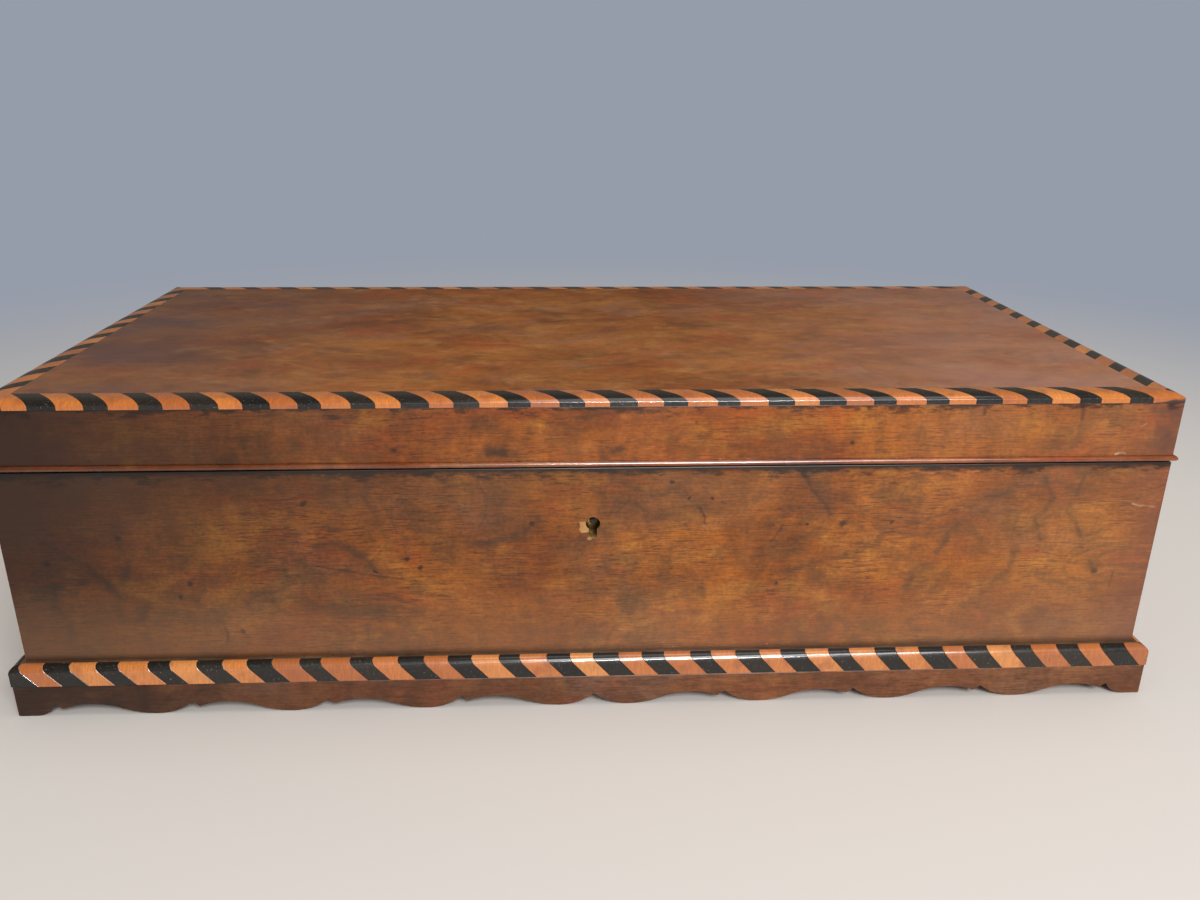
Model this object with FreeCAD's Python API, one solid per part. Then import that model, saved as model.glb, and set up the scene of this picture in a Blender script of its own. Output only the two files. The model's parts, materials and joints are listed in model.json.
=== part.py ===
import FreeCAD, Part
import math
import os

# Walnut writing box for letters: a lift-up lid edged with dark and light blocks,
# a letter well with pen tray and ink bottles, a drawer in the right-hand end,
# and a moulded base with a scalloped apron.  Millimetres, +Z up, front towards -Y.

V = FreeCAD.Vector

# Case and lid, seen from above
CASE_LENGTH = 480.0
CASE_DEPTH = 225.0
HALF_X = CASE_LENGTH / 2
HALF_Y = CASE_DEPTH / 2
BOARD = 11.0                 # thickness of the case boards

# Heights above the table
APRON_TOP = 14.6
BASE_TOP = 24.2              # top of the moulding round the foot of the case
CASE_TOP = 109.3
LID_BOTTOM = 110.1
EDGING_BOTTOM = 135.2
LID_TOP = 138.9
EDGING_TOP = 139.0

# Base moulding and apron
BASE_OUTSET = 5.4            # how far the base stands out from the case
APRON_RECESS = 0.3           # the apron sits this far behind the blocks above it
APRON_THICKNESS = 12.0
FILLET_WIDTH = 1.8
FILLET_DROP = 1.6
APRON_ARCH = 5.4             # height of the cusps and of the arches
APRON_TIP = 3.1              # height of the small tip before each cusp
FOOT_WIDTH = 16.2            # from the last cusp to the corner
FRONT_SCALLOPS = 4           # each side of the middle
END_SCALLOPS = 2

# Block edging: a dark and a light block in turn, cut by hand and so not all alike
EDGING_WIDTH = 10.5
EDGING_UPRIGHT = 1.7         # height of the lid edging's upright outer face
EDGING_CREST = 6.2           # the lid edging is highest this far in from its face
BLOCK_PAIR = 20.7            # length of a dark and a light block together, along the edge
DARK_BLOCK = 10.0
JOINT_WOBBLE = 0.6           # how far a joint strays from its even place
WOBBLE_STEP = 2.3            # radians of the wobble's wave from one joint to the next
DRIFT_PAIRS = 23             # pairs in one wave of the slow drift
LID_DRIFT = 1.6              # the joints drift by this much over the length of a side
BASE_DRIFT = -1.7
LID_FIRST_JOINT = 0.4        # the even spacing starts this far before the corner
BASE_FIRST_JOINT = 4.4
CORNER_OVERRUN = 12.0        # the first block is sawn to reach this far past its corner
LEAST_CORNER_BLOCK = 6.0     # a joint nearer than this to the far corner is left out
LID_SLANT = 1.0              # sideways run of a lid block's joint per unit of width
BASE_SLANT = 0.9             # sideways run of a base block's joint per unit of height
BASE_TWIST = 0.43            # and how far it runs back per unit of width
SPARE = 2.0                  # how far a cutting tool reaches past what it cuts
SMALLEST_BLOCK = 1.0         # cubic millimetres; anything less is a sliver

# Lid
BEAD_OUTSET = 1.5
BEAD_HEIGHT = 2.2
BEAD_TONGUE = 0.8
TOP_PANEL = 8.0
LINING = 1.0

# Inside the case
BOTTOM_BOARD = 6.0
RUNNER_TOP = 25.6
DUST_BOARD_BOTTOM = 62.5
DUST_BOARD = 6.0
WELL_FLOOR = DUST_BOARD_BOTTOM + DUST_BOARD + LINING
PARTITION = 4.0
PARTITION_TOP = 104.0
PEN_SECTION_Y = 56.0         # front face of the long partition
LETTER_END_X = 58.0          # left face of the cross partition
INK_BAY = 42.0
INSIDE_X = HALF_X - BOARD
INSIDE_Y = HALF_Y - BOARD
GLUE_BLOCK_LEG = 24.0        # of the triangles behind the apron's corners
GLUE_BLOCK_LIFT = 1.5        # they stop this far above the apron's arches

# Pen tray and ink bottles
TRAY_TOP = 94.0
TRAY_WALL = 4.0
TRAY_FLOOR = 5.0
TRAY_END = 16.0              # solid wood past the straight part of the hollow
BOTTLE_SIDE = 36.0
BOTTLE_WALL = 3.5
BOTTLE_BODY = 24.0           # height of the square body
BOTTLE_CORNER = 4.0
BOTTLE_NECK = 6.0            # height of the round neck
BOTTLE_NECK_RADIUS = 11.0
BOTTLE_MOUTH_RADIUS = 8.5
CAP_WALL = 1.6
CAP_LIFT = 0.5               # gap between the cap and the bottle's shoulder
CAP_ROUNDING = 1.0

# Drawer
DRAWER_BACK_X = -160.0
DRAWER_HALF_WIDTH = 95.0
DRAWER_BOTTOM = 25.9
DRAWER_TOP = 61.1
DRAWER_SIDE_TOP = 57.5
DRAWER_FRONT_BOARD = 10.0
DRAWER_SIDE_BOARD = 7.0
DRAWER_FLOOR = 4.0
DRAWER_FLOOR_Z = 28.5
GROOVE = 3.0
GAP = 0.3                    # clearance between pieces that move apart
RUNNER_WIDTH = 15.0          # how far a runner reaches under the drawer
RUNNER_OVERRUN = 20.0        # runners and guides go on this far behind the drawer
GUIDE_HEIGHT = 20.0
STOP_THICKNESS = 10.0
STOP_HALF_WIDTH = 20.0
STOP_HEIGHT = 16.0           # above the runners
KNOB_REACH = 12.0
KNOB_DOME = 3.6              # rise of the domed head
KNOB_STEM = 2.5              # radii of the turned knob, from the back to the front
KNOB_FOOT = 6.0
KNOB_NECK = 3.4
KNOB_HEAD = 7.0

# Hinges
HINGE_X = 150.0
HINGE_LENGTH = 36.0
HINGE_Y = 115.2
HINGE_Z = (CASE_TOP + LID_BOTTOM) / 2
KNUCKLE_RADIUS = 2.4
HINGE_PIN_RADIUS = 0.9
PIN_CLEARANCE = 0.05
KNUCKLE_GAP = 0.2
NECK_BITE = 0.4              # a leaf's neck runs this far into its knuckle
LEAF = 1.5
LEAF_EDGE_Y = 103.5

# Lock
KEYHOLE_X = -0.6
KEYHOLE_Z = 84.4
KEYHOLE_RADIUS = 3.0
KEYHOLE_SLOT = 3.3
KEYHOLE_DROP = 6.2
VENEER = 0.7
# Splinters of veneer are broken out beside the keyhole; points from its centre
VENEER_CHIPS = [
    [(-1.5, 1.2), (-5.7, 1.2), (-5.3, -1.2), (-5.9, -2.6), (-4.8, -4.1), (-1.5, -3.7)],
    [(-0.9, -5.9), (-2.6, -6.3), (-1.8, -7.6), (0.2, -7.3)],
]
LOCK_HALF_LENGTH = 20.0
LOCK_PLATE_HALF_LENGTH = 25.0
LOCK_FRONT_Y = -110.0
LOCK_BACK_Y = -HALF_Y + BOARD
LOCK_PLATE = 1.5
LOCK_PLATE_BOTTOM = 75.3
LOCK_CASE_BOTTOM = 77.0
LOCK_TOP_PLATE = 2.0
LOCK_WALL = 1.0
LOCK_PIN_RADIUS = 1.2
LOCK_SCREW_INSET = 2.6       # from the ends of the plate
LOCK_SCREW_LOW = 4.0         # above the plate's lower edge
LOCK_SCREW_HIGH = 6.0        # below the plate's upper edge
LOCK_MIDDLE_Y = (LOCK_FRONT_Y + LOCK_BACK_Y - LOCK_PLATE) / 2

# Links in the lid, and the bolt whose two noses enter their eyes
LINK_X = 9.0
LINK = 1.6
LINK_HALF_WIDTH = 2.3
LINK_BOTTOM = 99.5
LINK_PLATE_HALF_LENGTH = 18.0
LINK_SCREW_X = 15.0
EYE_HALF_WIDTH = 1.1
EYE_CLEARANCE = 0.6          # above and below the nose
SLOT_CLEARANCE = 0.5         # round a link where it passes the top plate
NOSE_LOW = 101.8
NOSE_HIGH = 104.4
NOSE_HALF_WIDTH = 0.7
BOLT_HALF_THICKNESS = 1.0
BOLT_BAR_TOP = LINK_BOTTOM - 0.7
BOLT_BAR_BOTTOM = BOLT_BAR_TOP - 5.0
BOLT_BAR_LEFT = -16.0
BOLT_BAR_RIGHT = 5.0
BOLT_POST = 1.7              # thickness of the post that carries a nose
BOLT_TRAVEL = 4.0

# Small fasteners
SCREW_RADIUS = 1.1
SCREW_HEAD_RADIUS = 2.2
SCREW_HEAD = 1.2
SCREW_LENGTH = 8.0
SCREW_SLOT = 0.6
SCREW_SLOT_DEPTH = 0.5
SCREW_TURN = 37.0            # degrees from one screw's slot to the next one's

# The knob reaches past the base, so the case sits this far left of the frame's middle
CASE_SHIFT = -(KNOB_REACH - BASE_OUTSET) / 2


def box(x0, x1, y0, y1, z0, z1):
    return Part.makeBox(x1 - x0, y1 - y0, z1 - z0, V(x0, y0, z0))


def cylinder(radius, start, end):
    along = end.sub(start)
    return Part.makeCylinder(radius, along.Length, start, along)


def outline_face(pieces):
    """A face bounded by lines (two points) and arcs (three points)."""
    edges = []
    for piece in pieces:
        if len(piece) == 2:
            edges.append(Part.LineSegment(*piece).toShape())
        else:
            edges.append(Part.Arc(*piece).toShape())
    return Part.Face(Part.Wire(Part.__sortEdges__(edges)))


def prism(points, direction):
    return Part.Face(Part.makePolygon(points + points[:1])).extrude(direction)


def export(name, shape):
    placed = shape.copy()
    placed.translate(V(CASE_SHIFT, 0, 0))
    placed.exportStep("parts/" + name + ".step")


# A side is built lying along X with its outer face on the plane y = 0, outwards
# towards -Y, and is then turned into its place round the case.
SIDES = {
    "front": (0, HALF_X, HALF_Y),
    "right": (90, HALF_Y, HALF_X),
    "back": (180, HALF_X, HALF_Y),
    "left": (270, HALF_Y, HALF_X),
}


def on_side(shape, side):
    turn, _, distance = SIDES[side]
    placed = shape.copy()
    placed.translate(V(0, -distance, 0))
    placed.rotate(V(0, 0, 0), V(0, 0, 1), turn)
    return placed


def mitred(half, inner, outer, low, high):
    """A length of wood between two 45 degree mitres; inner and outer are outward distances."""
    points = [
        V(-half - inner, -inner, low),
        V(half + inner, -inner, low),
        V(half + outer, -outer, low),
        V(-half - outer, -outer, low),
    ]
    return prism(points, V(0, 0, high - low))


def mitred_board(side, thickness, low, high):
    half = SIDES[side][1]
    return on_side(mitred(half, -thickness, 0, low, high), side)


def moulding(side, pieces, inner, outer, low, high):
    """A mitred moulding whose section is given as (outward, height) points."""
    half = SIDES[side][1]
    length = 2 * (half + outer + SPARE)
    section = outline_face([[V(-length / 2, -out, up) for out, up in piece] for piece in pieces])
    return section.extrude(V(length, 0, 0)).common(mitred(half, inner, outer, low, high))


def joints_along(end, first, drift):
    """Positions of the joints between blocks, from before one corner to past the other."""
    joints = [-end - CORNER_OVERRUN]
    for number in range(1, 2 * int(2 * end / BLOCK_PAIR) + 6):
        pair, after_dark = divmod(number, 2)
        even = first + pair * BLOCK_PAIR + after_dark * DARK_BLOCK
        slow = drift * math.cos(2 * math.pi * pair / DRIFT_PAIRS)
        place = even + slow + JOINT_WOBBLE * math.sin(WOBBLE_STEP * number)
        if not end - LEAST_CORNER_BLOCK < place < end:
            joints.append(place)
    return joints


def blocks_of(strip, cutters):
    """Cut a strip into blocks, dark and light in turn from the first cutter on."""
    colours = ([], [])
    for number, cutter in enumerate(cutters):
        block = strip.common(cutter)
        if block.Volume > SMALLEST_BLOCK:
            colours[number % 2].extend(block.Solids)
    return colours


def slanted_in_plan(start, end, low, high):
    """Space between two upright planes that lean along the edge as they go inwards."""
    outer_run = SPARE * LID_SLANT
    inner_run = (EDGING_WIDTH + SPARE) * LID_SLANT
    points = [
        V(start + outer_run, -SPARE, low),
        V(end + outer_run, -SPARE, low),
        V(end - inner_run, EDGING_WIDTH + SPARE, low),
        V(start - inner_run, EDGING_WIDTH + SPARE, low),
    ]
    return prism(points, V(0, 0, high - low))


def slanted_in_height(start, end, inner, outer):
    """Space between two planes that lean along the edge as they go down and run back outwards."""
    lean = (BASE_TOP - APRON_TOP) * BASE_SLANT
    ahead = (FILLET_WIDTH - inner) * BASE_TWIST
    points = [
        V(start + ahead + lean, -inner, APRON_TOP),
        V(end + ahead + lean, -inner, APRON_TOP),
        V(end + ahead, -inner, BASE_TOP),
        V(start + ahead, -inner, BASE_TOP),
    ]
    return prism(points, V((inner - outer) * BASE_TWIST, inner - outer, 0))


# The lid edging rounds over from the face of the lid and then runs nearly flat to the panel
UPRIGHT_TOP = EDGING_BOTTOM + EDGING_UPRIGHT
SHOULDER = (-0.3, UPRIGHT_TOP + 0.55)
SLOPE = (-2.6, EDGING_TOP - 0.4)
CREST = (-EDGING_CREST, EDGING_TOP)
LID_EDGING_SECTION = [
    [(-EDGING_WIDTH, EDGING_BOTTOM), (0, EDGING_BOTTOM)],
    [(0, EDGING_BOTTOM), (0, UPRIGHT_TOP)],
    [(0, UPRIGHT_TOP), (-0.08, UPRIGHT_TOP + 0.3), SHOULDER],
    [SHOULDER, (-1.25, EDGING_TOP - 0.92), SLOPE],
    [SLOPE, (-4.2, EDGING_TOP - 0.12), CREST],
    [CREST, (-8.4, EDGING_TOP - 0.02), (-EDGING_WIDTH, LID_TOP)],
    [(-EDGING_WIDTH, LID_TOP), (-EDGING_WIDTH, EDGING_BOTTOM)],
]

# The base blocks round over towards the fillet that meets the case
BASE_SHOULDER = 20.2
BLOCK_TOP = BASE_TOP - 0.1   # the fillet's top falls this far to meet the blocks
FILLET_BOTTOM = BASE_TOP - FILLET_DROP
BASE_EDGING_SECTION = [
    [(0, APRON_TOP), (BASE_OUTSET, APRON_TOP)],
    [(BASE_OUTSET, APRON_TOP), (BASE_OUTSET, BASE_SHOULDER)],
    [(BASE_OUTSET, BASE_SHOULDER), (4.4, BASE_TOP - 1.1), (FILLET_WIDTH, BLOCK_TOP)],
    [(FILLET_WIDTH, BLOCK_TOP), (FILLET_WIDTH, FILLET_BOTTOM)],
    [(FILLET_WIDTH, FILLET_BOTTOM), (0, FILLET_BOTTOM)],
    [(0, FILLET_BOTTOM), (0, APRON_TOP)],
]
FILLET_SECTION = [
    [(0, FILLET_BOTTOM), (FILLET_WIDTH, FILLET_BOTTOM)],
    [(FILLET_WIDTH, FILLET_BOTTOM), (FILLET_WIDTH, BLOCK_TOP)],
    [(FILLET_WIDTH, BLOCK_TOP), (0, BASE_TOP)],
    [(0, BASE_TOP), (0, FILLET_BOTTOM)],
]
BEAD_SECTION = [
    [(-BEAD_TONGUE, LID_BOTTOM), (0, LID_BOTTOM)],
    [(0, LID_BOTTOM), (BEAD_OUTSET, LID_BOTTOM + BEAD_HEIGHT / 2), (0, LID_BOTTOM + BEAD_HEIGHT)],
    [(0, LID_BOTTOM + BEAD_HEIGHT), (-BEAD_TONGUE, LID_BOTTOM + BEAD_HEIGHT)],
    [(-BEAD_TONGUE, LID_BOTTOM + BEAD_HEIGHT), (-BEAD_TONGUE, LID_BOTTOM)],
]


def countersunk(point, direction):
    """The space of a wood screw whose flat head is flush at the point."""
    head = Part.makeCone(SCREW_HEAD_RADIUS, SCREW_RADIUS, SCREW_HEAD, point, direction)
    shank = Part.makeCylinder(SCREW_RADIUS, SCREW_LENGTH, point, direction)
    return head.fuse(shank).removeSplitter()


def holes_for(places):
    return [countersunk(point, direction) for point, direction in places]


def export_screws(name, places):
    """Countersunk wood screws, each with its driver's slot turned its own way."""
    screws = []
    for number, (point, direction) in enumerate(places):
        slot = box(-SCREW_HEAD_RADIUS, SCREW_HEAD_RADIUS, -SCREW_SLOT / 2, SCREW_SLOT / 2,
                   -SCREW_SLOT_DEPTH, SCREW_SLOT_DEPTH)
        slot.rotate(V(0, 0, 0), V(0, 0, 1), SCREW_TURN * number)
        lean = FreeCAD.Rotation(V(0, 0, 1), direction)
        slot.rotate(V(0, 0, 0), lean.Axis, math.degrees(lean.Angle))
        slot.translate(point)
        screws.append(countersunk(point, direction).cut(slot))
    export(name, Part.makeCompound(screws))


def cut_all(shape, tools):
    for tool in tools:
        shape = shape.cut(tool)
    return shape


def keyhole(y0, y1):
    x, z = KEYHOLE_X, KEYHOLE_Z
    ring = cylinder(KEYHOLE_RADIUS, V(x, y0, z), V(x, y1, z))
    slot = box(x - KEYHOLE_SLOT / 2, x + KEYHOLE_SLOT / 2, y0, y1, z - KEYHOLE_DROP, z)
    return ring.fuse(slot)


def veneer_chips():
    """The shallow recesses where splinters are missing beside the keyhole."""
    start = -HALF_Y - SPARE
    chips = []
    for outline in VENEER_CHIPS:
        points = [V(KEYHOLE_X + x, start, KEYHOLE_Z + z) for x, z in outline]
        chips.append(prism(points, V(0, SPARE + VENEER, 0)))
    return chips


def make_hinges():
    """Two butt hinges: leaves let into the case and the lid, knuckles behind the back."""
    third = HINGE_LENGTH / 3
    axis = (HINGE_Y, HINGE_Z)
    case_leaves = []
    lid_leaves = []
    pins = []
    case_screws = []
    lid_screws = []
    recesses = []
    for centre in (-HINGE_X, HINGE_X):
        left = centre - HINGE_LENGTH / 2
        right = centre + HINGE_LENGTH / 2

        def knuckle(x0, x1, hole):
            tube = cylinder(KNUCKLE_RADIUS, V(x0, *axis), V(x1, *axis))
            return tube.cut(cylinder(hole, V(x0 - SPARE, *axis), V(x1 + SPARE, *axis)))

        def neck(x0, x1, low):
            arm = box(x0, x1, HALF_Y, HINGE_Y, low, low + LEAF)
            room = cylinder(KNUCKLE_RADIUS - NECK_BITE, V(x0 - SPARE, *axis), V(x1 + SPARE, *axis))
            return arm.cut(room)

        case_leaf = box(left, right, LEAF_EDGE_Y, HALF_Y, CASE_TOP - LEAF, CASE_TOP)
        recesses.append(case_leaf)
        for x0, x1 in ((left, left + third), (right - third, right)):
            case_leaf = case_leaf.fuse(neck(x0, x1, CASE_TOP - LEAF))
            case_leaf = case_leaf.fuse(knuckle(x0, x1, HINGE_PIN_RADIUS))
        lid_leaf = box(left, right, LEAF_EDGE_Y, HALF_Y, LID_BOTTOM, LID_BOTTOM + LEAF)
        recesses.append(lid_leaf)
        x0 = left + third + KNUCKLE_GAP
        x1 = right - third - KNUCKLE_GAP
        lid_leaf = lid_leaf.fuse(neck(x0, x1, LID_BOTTOM))
        lid_leaf = lid_leaf.fuse(knuckle(x0, x1, HINGE_PIN_RADIUS + PIN_CLEARANCE))
        pins.append(cylinder(HINGE_PIN_RADIUS, V(left, *axis), V(right, *axis)))
        for x in (centre - third, centre + third):
            screw_y = (LEAF_EDGE_Y + HALF_Y) / 2
            case_screws.append((V(x, screw_y, CASE_TOP), V(0, 0, -1)))
            lid_screws.append((V(x, screw_y, LID_BOTTOM), V(0, 0, 1)))
        case_leaves.append(cut_all(case_leaf.removeSplitter(), holes_for(case_screws[-2:])))
        lid_leaves.append(cut_all(lid_leaf.removeSplitter(), holes_for(lid_screws[-2:])))
    return {
        "case_leaves": case_leaves, "lid_leaves": lid_leaves, "pins": pins,
        "case_screws": case_screws, "lid_screws": lid_screws, "recesses": recesses,
    }


def make_lock():
    """A box lock let into the front board: plate, case, pin and screws."""
    plate_y = LOCK_BACK_Y - LOCK_PLATE
    under_top = CASE_TOP - LOCK_TOP_PLATE
    half = LOCK_PLATE_HALF_LENGTH
    upright = box(-half, half, plate_y, LOCK_BACK_Y, LOCK_PLATE_BOTTOM, CASE_TOP)
    top = box(-half, half, LOCK_FRONT_Y, plate_y, under_top, CASE_TOP)
    plate = upright.fuse(top).removeSplitter()
    body = box(-LOCK_HALF_LENGTH, LOCK_HALF_LENGTH, LOCK_FRONT_Y, plate_y, LOCK_CASE_BOTTOM, under_top)
    mortise = [plate, body]
    inside = LOCK_HALF_LENGTH - LOCK_WALL
    case = body.cut(box(-inside, inside, LOCK_FRONT_Y + LOCK_WALL, plate_y,
                        LOCK_CASE_BOTTOM + LOCK_WALL, CASE_TOP))
    case = case.cut(keyhole(LOCK_FRONT_Y - SPARE, LOCK_FRONT_Y + LOCK_WALL + SPARE))
    pin = cylinder(LOCK_PIN_RADIUS, V(KEYHOLE_X, plate_y, KEYHOLE_Z),
                   V(KEYHOLE_X, LOCK_FRONT_Y, KEYHOLE_Z))

    screws = []
    for x in (-half + LOCK_SCREW_INSET, half - LOCK_SCREW_INSET):
        for z in (LOCK_PLATE_BOTTOM + LOCK_SCREW_LOW, CASE_TOP - LOCK_SCREW_HIGH):
            screws.append((V(x, LOCK_BACK_Y, z), V(0, -1, 0)))
    slot_half = LINK / 2 + SLOT_CLEARANCE
    slot_width = LINK_HALF_WIDTH + SLOT_CLEARANCE
    slots = []
    for x in (-LINK_X, LINK_X):
        slots.append(box(x - slot_half, x + slot_half, LOCK_MIDDLE_Y - slot_width,
                         LOCK_MIDDLE_Y + slot_width, under_top - SPARE, CASE_TOP + SPARE))
    plate = cut_all(plate, holes_for(screws) + slots)
    return {"plate": plate, "case": case, "pin": pin, "screws": screws, "mortise": mortise}


def make_link_plate():
    """The plate in the lid: two links with eyes hang from it into the lock."""
    recess = box(-LINK_PLATE_HALF_LENGTH, LINK_PLATE_HALF_LENGTH, LOCK_FRONT_Y,
                 LOCK_BACK_Y - LOCK_PLATE, LID_BOTTOM, LID_BOTTOM + LEAF)
    plate = recess
    for x in (-LINK_X, LINK_X):
        link = box(x - LINK / 2, x + LINK / 2, LOCK_MIDDLE_Y - LINK_HALF_WIDTH,
                   LOCK_MIDDLE_Y + LINK_HALF_WIDTH, LINK_BOTTOM, LID_BOTTOM)
        eye = box(x - LINK, x + LINK, LOCK_MIDDLE_Y - EYE_HALF_WIDTH, LOCK_MIDDLE_Y + EYE_HALF_WIDTH,
                  NOSE_LOW - EYE_CLEARANCE, NOSE_HIGH + EYE_CLEARANCE)
        plate = plate.fuse(link.cut(eye))
    screws = []
    for x in (-LINK_SCREW_X, LINK_SCREW_X):
        screws.append((V(x, LOCK_MIDDLE_Y, LID_BOTTOM), V(0, 0, 1)))
    plate = cut_all(plate.removeSplitter(), holes_for(screws))
    return {"plate": plate, "screws": screws, "recess": recess}


def make_bolt():
    """The sliding bolt, drawn clear of the links; it locks by moving along +X."""
    low_y = LOCK_MIDDLE_Y - BOLT_HALF_THICKNESS
    high_y = LOCK_MIDDLE_Y + BOLT_HALF_THICKNESS
    bolt = box(BOLT_BAR_LEFT, BOLT_BAR_RIGHT, low_y, high_y, BOLT_BAR_BOTTOM, BOLT_BAR_TOP)
    for x in (-LINK_X, LINK_X):
        tip = x - LINK / 2 - SLOT_CLEARANCE
        root = tip - BOLT_TRAVEL
        nose = box(root, tip, LOCK_MIDDLE_Y - NOSE_HALF_WIDTH, LOCK_MIDDLE_Y + NOSE_HALF_WIDTH,
                   NOSE_LOW, NOSE_HIGH)
        post = box(root - BOLT_POST, root, low_y, high_y, BOLT_BAR_BOTTOM, NOSE_HIGH)
        bolt = bolt.fuse(post).fuse(nose)
    return bolt.removeSplitter()


def apron(side, scallops):
    """The scalloped board under the moulding: cusps, lobes and arches cut from its edge."""
    half = SIDES[side][1]
    outer = BASE_OUTSET - APRON_RECESS
    end = half + outer
    unit = (half + BASE_OUTSET - FOOT_WIDTH) / scallops
    lobe_x, arch_x, tip_x = 0.26 * unit, 0.745 * unit, 0.95 * unit
    pieces = []
    for mirror in (1, -1):

        def at(x, z):
            return V(mirror * x, -outer, z)

        def bend(x0, z0, x1, z1, level):
            """An arc from point 0 to point 1 that is level where it meets x = level."""
            run, rise = x1 - x0, z1 - z0
            flat_z, other_z = (z0, z1) if level == x0 else (z1, z0)
            sign = 1 if other_z > flat_z else -1
            radius = (run * run + rise * rise) / (2 * abs(rise))
            middle_x = (x0 + x1) / 2
            middle_z = flat_z + sign * (radius - math.sqrt(radius ** 2 - (middle_x - level) ** 2))
            return (at(x0, z0), at(middle_x, middle_z), at(x1, z1))

        for number in range(scallops):
            start = number * unit
            turn_x = start + (lobe_x + arch_x) / 2
            lobe, arch, tip = start + lobe_x, start + arch_x, start + tip_x
            pieces.append(bend(start, APRON_ARCH, lobe, 0, lobe))
            pieces.append(bend(lobe, 0, turn_x, APRON_ARCH / 2, lobe))
            pieces.append(bend(turn_x, APRON_ARCH / 2, arch, APRON_ARCH, arch))
            pieces.append(bend(arch, APRON_ARCH, tip, APRON_TIP, arch))
            pieces.append((at(tip, APRON_TIP), at(start + unit, APRON_ARCH)))
        last = scallops * unit
        foot = last + 0.5 * FOOT_WIDTH
        pieces.append(bend(last, APRON_ARCH, foot, 0, foot))
        pieces.append((at(foot, 0), at(end, 0)))
        pieces.append((at(end, 0), at(end, APRON_TOP)))
    pieces.append((V(-end, -outer, APRON_TOP), V(end, -outer, APRON_TOP)))
    board = outline_face(pieces).extrude(V(0, APRON_THICKNESS, 0))
    return on_side(board.common(mitred(half, outer - APRON_THICKNESS, outer, 0, APRON_TOP)), side)


def make_base():
    dark = []
    light = []
    for side, scallops in (("front", FRONT_SCALLOPS), ("right", END_SCALLOPS),
                           ("back", FRONT_SCALLOPS), ("left", END_SCALLOPS)):
        export("apron_" + side, apron(side, scallops))
        fillet = moulding(side, FILLET_SECTION, 0, FILLET_WIDTH, FILLET_BOTTOM, BASE_TOP)
        export("base_fillet_" + side, on_side(fillet, side))
        strip = moulding(side, BASE_EDGING_SECTION, 0, BASE_OUTSET, APRON_TOP, BASE_TOP)
        end = SIDES[side][1] + BASE_OUTSET
        joints = joints_along(end, -end - BASE_FIRST_JOINT, BASE_DRIFT)
        cutters = []
        for start, stop in zip(joints, joints[1:]):
            cutters.append(slanted_in_height(start, stop, -SPARE, BASE_OUTSET + SPARE))
        side_dark, side_light = blocks_of(strip, cutters)
        dark += [on_side(block, side) for block in side_dark]
        light += [on_side(block, side) for block in side_light]
    export("base_edging_dark", Part.makeCompound(dark))
    export("base_edging_light", Part.makeCompound(light))


def make_glue_blocks():
    """Triangular blocks in the four corners behind the apron."""
    bottom = APRON_ARCH + GLUE_BLOCK_LIFT
    inset = BASE_OUTSET - APRON_RECESS - APRON_THICKNESS
    x = HALF_X + inset
    y = HALF_Y + inset
    blocks = []
    for sx in (-1, 1):
        for sy in (-1, 1):
            corner = [
                V(sx * x, sy * y, bottom),
                V(sx * (x - GLUE_BLOCK_LEG), sy * y, bottom),
                V(sx * x, sy * (y - GLUE_BLOCK_LEG), bottom),
            ]
            blocks.append(prism(corner, V(0, 0, APRON_TOP - bottom)))
    export("corner_glue_blocks", Part.makeCompound(blocks))


def make_lid(hinge_cuts, link):
    clear = []
    for centre in (-HINGE_X, HINGE_X):
        x0 = centre - HINGE_LENGTH / 2 - GAP
        x1 = centre + HINGE_LENGTH / 2 + GAP
        clear.append(cylinder(KNUCKLE_RADIUS + GAP, V(x0, HINGE_Y, HINGE_Z), V(x1, HINGE_Y, HINGE_Z)))
        clear.append(box(x0, x1, HALF_Y - BEAD_TONGUE, HINGE_Y, LID_BOTTOM, LID_BOTTOM + LEAF))

    dark = []
    light = []
    for side in SIDES:
        bead = moulding(side, BEAD_SECTION, -BEAD_TONGUE, BEAD_OUTSET,
                        LID_BOTTOM, LID_BOTTOM + BEAD_HEIGHT)
        bead = on_side(bead, side)
        rail = mitred_board(side, EDGING_WIDTH, LID_BOTTOM, EDGING_BOTTOM).cut(bead)
        if side == "back":
            bead = cut_all(bead, clear + hinge_cuts)
            rail = cut_all(rail, hinge_cuts)
        if side == "front":
            rail = cut_all(rail, [link["recess"]] + holes_for(link["screws"]))
        export("lid_bead_" + side, bead)
        export("lid_rail_" + side, rail)

        strip = moulding(side, LID_EDGING_SECTION, -EDGING_WIDTH, 0, EDGING_BOTTOM, EDGING_TOP)
        end = SIDES[side][1]
        joints = joints_along(end, -end - LID_FIRST_JOINT, LID_DRIFT)
        cutters = []
        for start, stop in zip(joints, joints[1:]):
            cutters.append(slanted_in_plan(start, stop, EDGING_BOTTOM, EDGING_TOP + SPARE))
        side_dark, side_light = blocks_of(strip, cutters)
        dark += [on_side(block, side) for block in side_dark]
        light += [on_side(block, side) for block in side_light]
    export("lid_edging_dark", Part.makeCompound(dark))
    export("lid_edging_light", Part.makeCompound(light))

    x = HALF_X - EDGING_WIDTH
    y = HALF_Y - EDGING_WIDTH
    panel_bottom = LID_TOP - TOP_PANEL
    export("lid_top_panel", box(-x, x, -y, y, panel_bottom, LID_TOP))
    export("lid_lining", box(-x, x, -y, y, panel_bottom - LINING, panel_bottom))


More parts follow.
